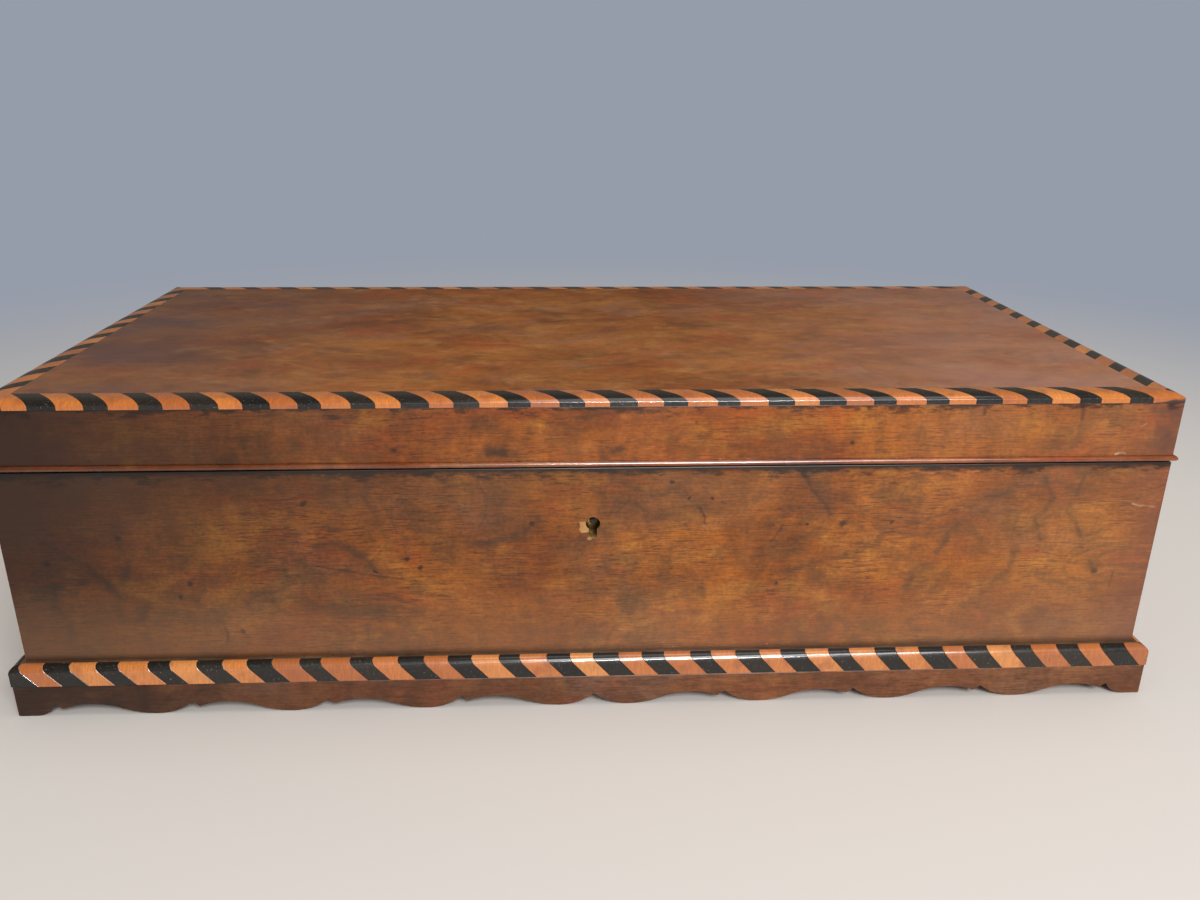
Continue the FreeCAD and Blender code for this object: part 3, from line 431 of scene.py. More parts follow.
SMUDGES_MM = [
    [(224.0, 134.0), (233.0, 132.0), (236.5, 129.0)],
    [(229.0, 123.0), (233.0, 121.5), (231.0, 117.0)],
    [(-46.0, 116.5), (-38.0, 117.0)],
    [(1.0, 115.6), (5.5, 116.6)],
]
SCORCH_MM = [(225.5, 134.3), (238.0, 134.9)]   # the foot of the lid's last front block is burnt
SCRATCH_PX = [(1129, 504), (1151, 506)]
NICKS_MM = [
    [(212.4, 113.2), (216.2, 113.4)],
    [(220.6, 125.5), (222.2, 125.9)],
]
SPOTS_PX = [                     # each spot's pixel, and its radius in mm
    (842, 524, 2.4), (807, 524, 1.2), (776.8, 583, 1.4), (532.5, 523.7, 1.8),
    (190.5, 584, 1.9), (181, 597, 1.5), (50.5, 563, 2.2), (119, 537, 1.6),
    (303, 503, 2.0), (407, 559, 1.6), (420, 566.7, 1.5), (376, 570.5, 1.2),
    (1091.5, 569.5, 2.4), (689.4, 497.9, 1.1), (711.5, 497.9, 1.1), (672, 482.5, 1.6),
    (244, 631, 1.6), (393.6, 448.8, 1.6), (851.5, 443, 1.8), (891.5, 522, 1.4),
]
CHIP_REACH_MM = 11.0             # the chips and the hole lie within this of the keyhole
DARK_FROM_MM = LEFT_X_MM - 12    # where the left end's darkness is deepest
SHADED_BAND_MM = 42              # height of the painted shade at the case's top, under the lid
TABLE_REFLECTION_MM = 42                     # height of the painted reflection of the pale table above the base
FOOT_SHADE_MM = 3.5              # height of the darker line above the base: painted shade in the corner, with grime


def front_marks(tree, place, tone):
    """The front's veins, what age has done to it (cracks, drips, smudges, spots and grime), and its
    painted shade and reflection.
    """
    ragged = drifted(tree, place, 6.0, 3.4)
    flat = add(tree, "ShaderNodeMapping", {"Vector": ragged, "Scale": (1, 0, 1)})
    broken = streaks(tree, place, (7.0, 7.0, 7.0), detail=2.0)
    broken = add(tree, "ShaderNodeMapRange", {0: broken, 1: 0.35, 2: 0.6, 3: 0.25}, **STEP)
    dark_veins = on_front(DARK_VEINS_PX)
    soft_veins = on_front(SOFT_VEINS_PX) + SOFT_VEINS_MM
    for marks, reach_mm, depth, tint in (
            (soft_veins, 6.0, 0.30, "3f2d1a"), (soft_veins, 2.6, 0.42, "33241a"),
            (dark_veins, 5.0, 0.36, "4a3018"), (dark_veins, 1.6, 0.50, "371f10"),
            (on_front(CRACKS_PX), 0.8, 0.6, "2e1a12"), (on_front(DRIPS_PX), 1.3, 0.75, "35180e"),
            (SMUDGES_MM, 4.6, 0.75, "2b211a")):
        for mark in marks:
            away = from_mark(tree, flat, mark)
            drawn = add(tree, "ShaderNodeMapRange", {
                0: away, 1: 0.1, 2: reach_mm, 3: depth, 4: 0.0}, **STEP)
            drawn = add(tree, "ShaderNodeMath", {0: drawn, 1: broken}, operation="MULTIPLY")
            tone = add(tree, "ShaderNodeMix", {0: drawn, 6: tone, 7: colour(tint)}, **MIX)
    for across_px, down_px, radius in SPOTS_PX:
        away = from_mark(tree, flat, [front_point(across_px, down_px)])
        depth = add(tree, "ShaderNodeMapRange", {
            0: away, 1: 0.3 * radius, 2: radius, 3: 0.8, 4: 0.0}, **STEP)
        tone = add(tree, "ShaderNodeMix", {0: depth, 6: tone, 7: colour("28160f")}, **MIX)
    for mark in on_front([SCRATCH_PX]) + NICKS_MM:
        away = from_mark(tree, flat, mark)
        bare = add(tree, "ShaderNodeMapRange", {0: away, 1: 0.1, 2: 0.7, 3: 0.7, 4: 0.0}, **STEP)
        bare = add(tree, "ShaderNodeMath", {0: bare, 1: broken}, operation="MULTIPLY")
        tone = add(tree, "ShaderNodeMix", {0: bare, 6: tone, 7: colour("cdb093")}, **MIX)
    return keyhole_wood(tree, place, front_weathering_and_shade(tree, place, tone))


def keyhole_wood(tree, place, tone):
    """Pale raw wood where the veneer is chipped beside the keyhole, and painted shade, near black,
    inside the hole.
    """
    flat = add(tree, "ShaderNodeMapping", {"Vector": place, "Scale": (1, 0, 1)})
    away = from_mark(tree, flat, [(KEYHOLE_X_MM, KEYHOLE_Z_MM)])
    near = add(tree, "ShaderNodeMath", {0: away, 1: CHIP_REACH_MM}, operation="LESS_THAN")
    depth = add(tree, "ShaderNodeSeparateXYZ", {0: place}, output="Y")
    # Raw wood in the chips; near black deeper in, which is painted shade inside the keyhole
    for deeper_mm, tint in ((0.15, "b08350"), (VENEER_MM + 0.1, "1c120b")):
        deep = add(tree, "ShaderNodeMath", {0: depth, 1: FRONT_Y_MM + deeper_mm},
                   operation="GREATER_THAN")
        deep = add(tree, "ShaderNodeMath", {0: deep, 1: near}, operation="MULTIPLY")
        tone = add(tree, "ShaderNodeMix", {0: deep, 6: tone, 7: colour(tint)}, **MIX)
    return tone


def darkened_and_shaded_left(tree, place, tone):
    """Darker towards the left end, most of all in the upper left corner: partly aged polish, partly
    painted shade where the light falls off to the left.
    """
    swayed = drifted(tree, place, 60.0, 50.0)
    far = add(tree, "ShaderNodeSeparateXYZ", {0: swayed}, output="X")
    # Partly painted shade: the light falls off towards the left end
    for reach_mm, share in ((75.0, 0.38), (330.0, 0.44)):
        left = add(tree, "ShaderNodeMapRange", {
            0: far, 1: DARK_FROM_MM, 2: LEFT_X_MM + reach_mm, 3: share}, **STEP)
        tone = add(tree, "ShaderNodeMix", {0: 1.0, 6: tone, 7: left}, **TINT)
    height = add(tree, "ShaderNodeSeparateXYZ", {0: swayed}, output="Z")
    high = add(tree, "ShaderNodeMapRange", {0: height, 1: 50.0, 2: CASE_TOP_MM, 4: 0.85}, **STEP)
    left = add(tree, "ShaderNodeMapRange", {
        0: far, 1: DARK_FROM_MM, 2: LEFT_X_MM + 170, 3: 1.0, 4: 0.0}, **STEP)
    corner = add(tree, "ShaderNodeMath", {0: high, 1: left}, operation="MULTIPLY")
    return add(tree, "ShaderNodeMix", {0: corner, 6: tone, 7: colour("2f1c12")}, **MIX)


def painted_shade_left(tree, place, tone):
    """Painted shade: the bead is darker towards its left end, where the light falls off."""
    across = add(tree, "ShaderNodeSeparateXYZ", {0: place}, output="X")
    # Painted shade, deepest at the left end
    left = add(tree, "ShaderNodeMapRange", {0: across, 1: LEFT_X_MM, 2: 60.0, 3: 0.42}, **STEP)
    return add(tree, "ShaderNodeMix", {0: 1.0, 6: tone, 7: left}, **TINT)


def front_weathering_and_shade(tree, place, tone):
    """The front is darker at its left and top, dull and red at its right, and hazy at its foot.

    The darker left is partly painted shade, the darker top is painted shade under the lid, and the
    haze at the foot is a painted reflection of the pale table. Soot and painted shadow lie under
    the lid's edging and along the top of the case."""
    tone = darkened_and_shaded_left(tree, place, tone)
    across = add(tree, "ShaderNodeSeparateXYZ", {0: place}, output="X")
    for reach_mm, share, tint in ((170.0, 0.22, "8f6a4c"), (26.0, 0.45, "6b3a33")):
        right = add(tree, "ShaderNodeMapRange", {
            0: across, 1: RIGHT_X_MM - reach_mm, 2: RIGHT_X_MM, 4: share}, **STEP)
        tone = add(tree, "ShaderNodeMix", {0: right, 6: tone, 7: colour(tint)}, **MIX)

    # Painted shade under the lid: a darker band at the top of the case, weaker towards the right
    # end
    height = add(tree, "ShaderNodeSeparateXYZ", {0: place}, output="Z")
    high = add(tree, "ShaderNodeMapRange", {
        0: height, 1: CASE_TOP_MM - SHADED_BAND_MM, 2: CASE_TOP_MM, 3: 0.0, 4: 0.40}, **STEP)
    on_case = add(tree, "ShaderNodeMath", {0: height, 1: LID_BOTTOM_MM}, operation="LESS_THAN")
    high = add(tree, "ShaderNodeMath", {0: high, 1: on_case}, operation="MULTIPLY")
    towards_left = add(tree, "ShaderNodeMapRange", {0: across, 1: RIGHT_X_MM - 60, 2: 0.0}, **STEP)
    high = add(tree, "ShaderNodeMath", {0: high, 1: towards_left}, operation="MULTIPLY")
    tone = add(tree, "ShaderNodeMix", {0: high, 6: tone, 7: colour("3c2310")}, **MIX)
    # Painted reflection of the pale table: the lowest part of the front is greyer
    foot = add(tree, "ShaderNodeMapRange", {
        0: height, 1: BASE_TOP_MM, 2: BASE_TOP_MM + TABLE_REFLECTION_MM, 3: 0.36, 4: 0.0}, **STEP)
    tone = add(tree, "ShaderNodeMix", {0: foot, 6: tone, 7: colour("86634a")}, **MIX)
    # Painted shade in the corner above the base, with grime
    foot = add(tree, "ShaderNodeMapRange", {
        0: height, 1: BASE_TOP_MM, 2: BASE_TOP_MM + FOOT_SHADE_MM, 3: 0.5}, **STEP)
    tone = add(tree, "ShaderNodeMix", {0: 1.0, 6: tone, 7: foot}, **TINT)
    # Soot and painted shadow below the lid's bead and below the lid's edging
    tone = sooty_and_shaded(tree, place, tone, CASE_TOP_MM, 2.0, 7.5, 0.95)
    return sooty_and_shaded(tree, place, tone, LID_EDGING_BOTTOM_MM, 0.4, 6.0, 0.8)


def top_sheen_and_shade(tree, place, tone):
    """Painted reflection and shade on the top: a dark grey sheen at the left, where the light falls
    off, a pinkish sheen to the right, and lighter at the front than at the back.
    """
    swayed = drifted(tree, place, 90.0, 80.0)
    across = add(tree, "ShaderNodeSeparateXYZ", {0: swayed}, output="X")
    depth = add(tree, "ShaderNodeSeparateXYZ", {0: swayed}, output="Y")
    thick = streaks(tree, place, (70.0, 32.0, 32.0), detail=4.0, roughness=0.6)
    thick = add(tree, "ShaderNodeMapRange", {0: thick, 1: 0.3, 2: 0.7, 3: 0.5, 4: 1.0}, **STEP)
    # Painted reflections: grey and dark at the left, pinkish to the right
    for from_mm, to_mm, share, tint in (
            (-50.0, LEFT_X_MM, 0.85, "574846"), (10.0, RIGHT_X_MM, 0.62, "9a776c")):
        sheen_share = add(tree, "ShaderNodeMapRange", {0: across, 1: from_mm, 2: to_mm, 4: share}, **STEP)
        sheen_share = add(tree, "ShaderNodeMath", {0: sheen_share, 1: thick}, operation="MULTIPLY")
        tone = add(tree, "ShaderNodeMix", {0: sheen_share, 6: tone, 7: colour(tint)}, **MIX)
    # Painted light: the top is lighter at its front and darker at its back
    back = add(tree, "ShaderNodeMapRange", {
        0: depth, 1: FRONT_Y_MM, 2: -FRONT_Y_MM, 3: 1.08, 4: 0.92}, **STEP)
    return add(tree, "ShaderNodeMix", {0: 1.0, 6: tone, 7: back}, **TINT)


def sooty_and_shaded(tree, place, tone, edge_mm, band_mm, clump_mm, strength):
    """Soot and painted shadow below an edge: a black band, and ragged clumps that reach further
    down.
    """
    height = add(tree, "ShaderNodeSeparateXYZ", {0: place}, output="Z")
    below = add(tree, "ShaderNodeMath", {0: edge_mm, 1: height}, operation="SUBTRACT")
    ragged = streaks(tree, place, (9.0, 9.0, 3.0), detail=5.0, roughness=0.65)
    reach = add(tree, "ShaderNodeMapRange", {
        0: ragged, 1: 0.44, 2: 0.72, 3: band_mm, 4: clump_mm}, **STEP)
    depth = add(tree, "ShaderNodeMath", {0: below, 1: reach}, operation="DIVIDE")
    soot_and_shade = add(tree, "ShaderNodeMapRange", {0: depth, 1: 0.1, 2: 1.5, 3: strength, 4: 0.0}, **STEP)
    under = add(tree, "ShaderNodeMath", {0: below, 1: -0.5}, operation="GREATER_THAN")
    soot_and_shade = add(tree, "ShaderNodeMath", {0: soot_and_shade, 1: under}, operation="MULTIPLY")
    return add(tree, "ShaderNodeMix", {0: soot_and_shade, 6: tone, 7: colour("1a110a")}, **MIX)


# ---------------------------------------------------------------- blocks

TINT_NAME = "block_tint"         # each block's own share of the way between two tones


def light_blocks(name, stops, stain):
    """Fruitwood gone orange: blocks from brown to yellow, fine straight grain, some stains."""
    material, tree = new_material(name)
    tint = add(tree, "ShaderNodeAttribute", output="Fac", attribute_name=TINT_NAME)
    tone = add(tree, "ShaderNodeValToRGB", {"Fac": tint}, stops=stops)
    place = place_in_mm(tree)
    grain = streaks(tree, drifted(tree, place, 8.0, 2.0), (0.5, 4.0, 4.0), detail=3.0)
    shade = add(tree, "ShaderNodeMapRange", {0: grain, 1: 0.3, 2: 0.7, 3: 0.86, 4: 1.12}, **STEP)
    tone = add(tree, "ShaderNodeMix", {0: 1.0, 6: tone, 7: shade}, **TINT)
    cloud = streaks(tree, place, (7.0, 7.0, 7.0), detail=3.0)
    stained = add(tree, "ShaderNodeMapRange", {0: cloud, 1: 0.50, 2: 0.72, 4: 0.6}, **STEP)
    tone = add(tree, "ShaderNodeMix", {0: stained, 6: tone, 7: colour(stain)}, **MIX)
    on_face = add(tree, "ShaderNodeMapping", {
        "Vector": drifted(tree, place, 5.0, 2.5), "Location": (0, -FRONT_Y_MM, 0)})
    away = from_mark(tree, on_face, SCORCH_MM)
    burnt = add(tree, "ShaderNodeMapRange", {0: away, 1: 1.0, 2: 2.4, 3: 0.95, 4: 0.0}, **STEP)
    tone = add(tree, "ShaderNodeMix", {0: burnt, 6: tone, 7: colour("1d1713")}, **MIX)
    surface(tree, {
        "Base Color": tone,
        "Roughness": add(tree, "ShaderNodeMapRange", {
            0: cloud, 1: 0.3, 2: 0.7, 3: 0.24, 4: 0.4}, **STEP),
        "Coat Weight": 1.0,
        "Coat Roughness": 0.08,
        "Specular IOR Level": 0.4,
    }, height=grain, relief_mm=0.015)
    return material


def dark_blocks():
    """Wood stained black: nearly black with a green-brown cast, open pores, small pale nicks."""
    material, tree = new_material("ebonised_wood")
    tint = add(tree, "ShaderNodeAttribute", output="Fac", attribute_name=TINT_NAME)
    tone = add(tree, "ShaderNodeValToRGB", {"Fac": tint},
               stops=[(0.0, "100e0b"), (0.6, "181511"), (1.0, "241d16")])
    place = place_in_mm(tree)
    grain = streaks(tree, place, (0.6, 2.4, 2.4), detail=4.0, roughness=0.6)
    shade = add(tree, "ShaderNodeMapRange", {0: grain, 1: 0.3, 2: 0.7, 3: 0.6, 4: 1.4}, **STEP)
    tone = add(tree, "ShaderNodeMix", {0: 1.0, 6: tone, 7: shade}, **TINT)
    nicks = streaks(tree, place, (0.7, 0.7, 0.7), detail=1.0)
    nicked = add(tree, "ShaderNodeMapRange", {0: nicks, 1: 0.69, 2: 0.78, 4: 0.6}, **STEP)
    tone = add(tree, "ShaderNodeMix", {0: nicked, 6: tone, 7: colour("76726a")}, **MIX)
    surface(tree, {
        "Base Color": tone,
        "Roughness": add(tree, "ShaderNodeMapRange", {
            0: nicks, 1: 0.3, 2: 0.7, 3: 0.28, 4: 0.5}, **STEP),
        "Coat Weight": 0.6,
        "Coat Roughness": 0.10,
        "Specular IOR Level": 0.25,
    }, height=grain, relief_mm=0.05)
    return material


# ---------------------------------------------------------------- inside and metal

def plain_wood(name, light, dark, gloss, turn=0.0):
    """A plain sawn and planed wood: straight grain lines and broad rings."""
    material, tree = new_material(name)
    place = drifted(tree, place_in_mm(tree, turn), 50.0, 8.0)
    rings = streaks(tree, place, (160.0, 9.0, 9.0), detail=3.0)
    grain = streaks(tree, place, (14.0, 0.6, 0.6), detail=3.0, roughness=0.6)
    tone = add(tree, "ShaderNodeValToRGB", {"Fac": rings}, stops=[(0.3, dark), (0.7, light)])
    shade = add(tree, "ShaderNodeMapRange", {0: grain, 1: 0.3, 2: 0.7, 3: 0.78, 4: 1.15}, **STEP)
    tone = add(tree, "ShaderNodeMix", {0: 1.0, 6: tone, 7: shade}, **TINT)
    surface(tree, {"Base Color": tone, "Roughness": gloss, "Specular IOR Level": 0.3},
            height=grain, relief_mm=0.05)
    return material


def velvet():
    """Worn cotton velvet, dark red: a short pile that catches light at a slant.

    The pile is drawn 0.5 mm coarse, so that it shows."""
    material, tree = new_material("worn_velvet")
    place = place_in_mm(tree)
    pile = streaks(tree, place, (0.5, 0.5, 0.5), detail=2.0)
    rubbed = streaks(tree, place, (45.0, 60.0, 60.0), detail=4.0, roughness=0.6)
    tone = add(tree, "ShaderNodeValToRGB", {"Fac": rubbed},
               stops=[(0.3, "3c0f18"), (0.5, "511722"), (0.72, "6b2a2f")])
    shade = add(tree, "ShaderNodeMapRange", {0: pile, 1: 0.3, 2: 0.7, 3: 0.7, 4: 1.25}, **STEP)
    tone = add(tree, "ShaderNodeMix", {0: 1.0, 6: tone, 7: shade}, **TINT)
    surface(tree, {
        "Base Color": tone, "Roughness": 0.9, "Sheen Weight": 0.5, "Sheen Roughness": 0.4,
        "Sheen Tint": colour("b0707a"), "Specular IOR Level": 0.2,
    }, height=pile, relief_mm=0.25)
    return material


def metal(name, bright, dull, rough_from, rough_to):
    """Handled metal: bright where it is rubbed, brown and duller in patches.

    Its scratches are drawn 0.3 mm wide, so that they show."""
    material, tree = new_material(name)
    place = place_in_mm(tree)
    patches = streaks(tree, place, (6.0, 6.0, 6.0), detail=5.0, roughness=0.65)
    scratches = streaks(tree, place, (3.0, 0.3, 0.3), detail=2.0)
    tone = add(tree, "ShaderNodeValToRGB", {"Fac": patches}, stops=[(0.35, bright), (0.65, dull)])
    surface(tree, {
        "Base Color": tone,
        "Metallic": 1.0,
        "Roughness": add(tree, "ShaderNodeMapRange", {
            0: patches, 1: 0.35, 2: 0.65, 3: rough_from, 4: rough_to}, **STEP),
    }, height=scratches, relief_mm=0.01)
    return material


def glass():
    """Thick pressed glass, faintly green, with a slightly uneven surface."""
    material, tree = new_material("pressed_glass")
    ripple = streaks(tree, place_in_mm(tree), (9.0, 9.0, 9.0), detail=1.0)
    surface(tree, {
        "Base Color": colour("dfeee6"), "Roughness": 0.03, "IOR": 1.5,
        "Transmission Weight": 1.0,
    }, height=ripple, relief_mm=0.15)
    return material


# ---------------------------------------------------------------- pieces

def piece_from(name, bm, material, body, slot, *stands_for):
    """Makes a finished piece of a bmesh: closed curves smooth, arrises crisp."""
    mesh = bpy.data.meshes.new(name)
    bm.to_mesh(mesh)
    bm.free()
    mesh.materials.append(material)
    for face in mesh.polygons:
        face.use_smooth = True
    mesh.set_sharp_from_angle(angle=SHARP_ANGLE)
    piece = bpy.data.objects.new(name, mesh)
    bpy.context.scene.collection.objects.link(piece)
    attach(piece, body)
    if stands_for:
        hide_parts(*stands_for)
    return piece


def copy_of(node):
    """The node's solid with its doubles merged and its flat faces joined."""
    bm = bmesh.new()
    bm.from_mesh(frame["nodes"][node].data)
    bmesh.ops.remove_doubles(bm, verts=bm.verts, dist=MERGE_MM * MM)
    bmesh.ops.dissolve_limit(bm, angle_limit=FLAT_ANGLE, verts=bm.verts, edges=bm.edges)
    return bm


def ease(bm, arris_mm, shortest_mm=4.0, steps=2):
    """Rounds every arris that is longer than shortest_mm."""
    edges = [edge for edge in bm.edges if len(edge.link_faces) == 2
             and edge.calc_face_angle() > ARRIS_ANGLE
             and edge.calc_length() > shortest_mm * MM]
    bmesh.ops.bevel(bm, geom=edges, offset=arris_mm * MM, offset_type="OFFSET", segments=steps,
                    profile=0.5, affect="EDGES", material=-1, clamp_overlap=True)


def dressed(node, material, arris_mm=0.3, shortest_mm=4.0):
    """A piece as the maker leaves it, with its arrises eased; it stands for the CAD node."""
    bm = copy_of(node)
    if arris_mm:
        ease(bm, arris_mm, shortest_mm)
    return piece_from(node + "_dressed", bm, material, BODY_OF[node], SLOT_OF[node], node)


# Each side: turn about Z, half length along it, distance of its face from the middle
SIDES = {
    "front": (0, CASE_LENGTH_MM / 2, CASE_DEPTH_MM / 2),
    "right": (90, CASE_DEPTH_MM / 2, CASE_LENGTH_MM / 2),
    "back": (180, CASE_LENGTH_MM / 2, CASE_DEPTH_MM / 2),
    "left": (270, CASE_DEPTH_MM / 2, CASE_LENGTH_MM / 2),
}


def arc(start, middle, end):
    """Points on the circular arc through three (out, up) points, without the last one."""
    (ax, ay), (bx, by), (cx, cy) = start, middle, end
    d = 2 * (ax * (by - cy) + bx * (cy - ay) + cx * (ay - by))
    ux = ((ax * ax + ay * ay) * (by - cy) + (bx * bx + by * by) * (cy - ay)
          + (cx * cx + cy * cy) * (ay - by)) / d
    uy = ((ax * ax + ay * ay) * (cx - bx) + (bx * bx + by * by) * (ax - cx)
          + (cx * cx + cy * cy) * (bx - ax)) / d
    radius = math.hypot(ax - ux, ay - uy)
    first = math.atan2(ay - uy, ax - ux)
    sweep = math.remainder(math.atan2(cy - uy, cx - ux) - first, math.tau)
    return [(ux + radius * math.cos(first + sweep * n / ARC_STEPS),
             uy + radius * math.sin(first + sweep * n / ARC_STEPS)) for n in range(ARC_STEPS)]


def strip(section, length_mm):
    """A straight moulding along X with the given (outward, height) section."""
    bm = bmesh.new()
    verts = [bm.verts.new((-length_mm / 2 * MM, -out * MM, up * MM)) for out, up in section]
    face = bm.faces.new(verts)
    made = bmesh.ops.extrude_face_region(bm, geom=[face])
    moved = [item for item in made["geom"] if isinstance(item, bmesh.types.BMVert)]
    bmesh.ops.translate(bm, verts=moved, vec=(length_mm * MM, 0, 0))
    bmesh.ops.recalc_face_normals(bm, faces=bm.faces)
    return bm


def cut_off(bm, point_mm, outwards):
    """Saws the bmesh at a plane, drops what lies outwards and closes the cut."""
    made = bmesh.ops.bisect_plane(
        bm, geom=bm.verts[:] + bm.edges[:] + bm.faces[:], dist=SAW_TOLERANCE_MM * MM,
        plane_co=Vector(point_mm) * MM, plane_no=outwards, clear_outer=True)
    rim = [item for item in made["geom_cut"] if isinstance(item, bmesh.types.BMEdge)]
    if rim:
        bmesh.ops.contextual_create(bm, geom=rim)


def joints_along(end_mm, first_mm, drift_mm):
    """Places of the joints between blocks along one side, whose corners are at -end and end."""
    joints = [-end_mm - CORNER_OVERRUN_MM]
    for number in range(1, 2 * int(2 * end_mm / BLOCK_PAIR_MM) + 6):
        pair, after_dark = divmod(number, 2)
        even = first_mm + pair * BLOCK_PAIR_MM + after_dark * DARK_BLOCK_MM
        slow = drift_mm * math.cos(math.tau * pair / DRIFT_PAIRS)
        place = even + slow + JOINT_WOBBLE_MM * math.sin(WOBBLE_STEP * number)
        if not end_mm - LEAST_CORNER_BLOCK_MM < place < end_mm:
            joints.append(place)
    return joints


class Edging:
    """How the blocks of one moulding are cut: its section, its joints and their slant."""

    def __init__(self, name, body, section, outset, first_joint, drift, across, datum):
        self.name = name
        self.body = body
        self.section = section
        self.outset = outset
        self.first_joint = first_joint
        self.drift = drift
        self.across = Vector(across)
        self.datum = datum


def mitred_strip(edging, half_mm):
    """The moulding of one side with its mitred ends, before it is sawn into blocks."""
    whole = strip(edging.section, 2 * (half_mm + edging.outset) + 2)
    cut_off(whole, (half_mm, 0, 0), (1, 1, 0))
    cut_off(whole, (-half_mm, 0, 0), (-1, 1, 0))
    return whole


def block_edging(edging, materials, seed):
    """All the blocks of one moulding, dark and light in turn, as two pieces."""
    draw = random.Random(seed)
    collected = [bmesh.new(), bmesh.new()]
    for turn, half_mm, distance_mm in SIDES.values():
        placed = (Matrix.Translation((CASE_SHIFT_MM * MM, 0, 0))
                  @ Matrix.Rotation(math.radians(turn), 4, "Z")
                  @ Matrix.Translation((0, -distance_mm * MM, 0)))
        whole = mitred_strip(edging, half_mm)
        end = half_mm + edging.outset
        joints = joints_along(end, -end - edging.first_joint, edging.drift)
        for number, (start, stop) in enumerate(zip(joints, joints[1:])):
            block = whole.copy()
            cut_off(block, (start, *edging.datum), -edging.across)
            cut_off(block, (stop, *edging.datum), edging.across)
            sink = draw.random() * BLOCK_SINK_MM * MM
            tint = draw.random()
            if block.faces and block.calc_volume() > SMALLEST_BLOCK_MM3 * MM ** 3:
                ease(block, JOINT_ARRIS_MM, shortest_mm=0.4, steps=1)
                bmesh.ops.translate(block, verts=block.verts, vec=(0, sink, 0))
                block.transform(placed)
                layer = block.faces.layers.float.new(TINT_NAME)
                for face in block.faces:
                    face[layer] = tint
                part = bpy.data.meshes.new("block")
                block.to_mesh(part)
                collected[number % 2].from_mesh(part)
                bpy.data.meshes.remove(part)
            block.free()
        whole.free()
    for bm, shade in zip(collected, ("dark", "light")):
        node = edging.name + "_" + shade
        piece_from(node + "_blocks", bm, materials[shade], edging.body, SLOT_OF[node], node)


# ---------------------------------------------------------------- the box

front_walnut = walnut("walnut_veneer_front", FACE_CUT, marks=front_marks)
lid_front_walnut = walnut("walnut_veneer_lid_front", LID_CUT, marks=front_marks)
face_walnut = walnut("walnut_veneer_back", FACE_CUT)
end_walnut = walnut("walnut_veneer_ends", FACE_CUT, turn=QUARTER_TURN)
top_walnut = walnut("walnut_veneer_top", TOP_CUT, marks=top_sheen_and_shade)
front_moulding = walnut("walnut_moulding_front", MOULDING_CUT, marks=darkened_and_shaded_left)
back_moulding = walnut("walnut_moulding_back", MOULDING_CUT)
short_moulding = walnut("walnut_moulding_short", MOULDING_CUT, turn=QUARTER_TURN)
long_fillet = walnut("walnut_fillet_long", FILLET_CUT)
short_fillet = walnut("walnut_fillet_short", FILLET_CUT, turn=QUARTER_TURN)
front_bead = walnut("walnut_bead_front", BEAD_CUT, marks=painted_shade_left)
back_bead = walnut("walnut_bead_back", BEAD_CUT)
short_bead = walnut("walnut_bead_short", BEAD_CUT, turn=QUARTER_TURN)
ebonised = dark_blocks()
lid_edging = {
    "dark": ebonised,
    "light": light_blocks("fruitwood_lid", stops=[
        (0.0, "a85a26"), (0.35, "b96829"), (0.7, "c77530"), (1.0, "cf8139")], stain="964a1c"),
}
base_edging = {
    "dark": ebonised,
    "light": light_blocks("fruitwood_base", stops=[
        (0.0, "a55c2c"), (0.35, "b86a33"), (0.7, "c5783b"), (1.0, "cf8748")], stain="954f28"),
}
mahogany = plain_wood("mahogany_waxed", "7d4526", "55290f", 0.45)
mahogany_across = plain_wood("mahogany_waxed_across", "7d4526", "55290f", 0.45, QUARTER_TURN)
pine = plain_wood("pine_bare", "b58a57", "8e6238", 0.7)
velvet_lining = velvet()
brass = metal("brass_aged", "b9914a", "6e5128", 0.22, 0.45)
iron = metal("iron_darkened", "3a3836", "1d1a18", 0.45, 0.7)
clear_glass = glass()

UPRIGHT_TOP_MM = LID_EDGING_BOTTOM_MM + LID_EDGING_UPRIGHT_MM
SHOULDER = (-0.3, UPRIGHT_TOP_MM + 0.55)
SLOPE = (-2.6, LID_EDGING_TOP_MM - 0.4)
CREST = (-LID_EDGING_CREST_MM, LID_EDGING_TOP_MM)
LID_EDGING = Edging(
    "lid_edging", "lid", outset=0.0, first_joint=LID_FIRST_JOINT_MM, drift=LID_DRIFT_MM,
    across=(1, LID_SLANT, 0), datum=(0.0, LID_EDGING_BOTTOM_MM), section=[
        (-LID_EDGING_WIDTH_MM, LID_EDGING_BOTTOM_MM),
        (0.0, LID_EDGING_BOTTOM_MM),
        *arc((0.0, UPRIGHT_TOP_MM), (-0.08, UPRIGHT_TOP_MM + 0.3), SHOULDER),
        *arc(SHOULDER, (-1.25, LID_EDGING_TOP_MM - 0.92), SLOPE),
        *arc(SLOPE, (-4.2, LID_EDGING_TOP_MM - 0.12), CREST),
        *arc(CREST, (-8.4, LID_EDGING_TOP_MM - 0.02), (-LID_EDGING_WIDTH_MM, LID_TOP_MM)),
        (-LID_EDGING_WIDTH_MM, LID_TOP_MM),
    ])
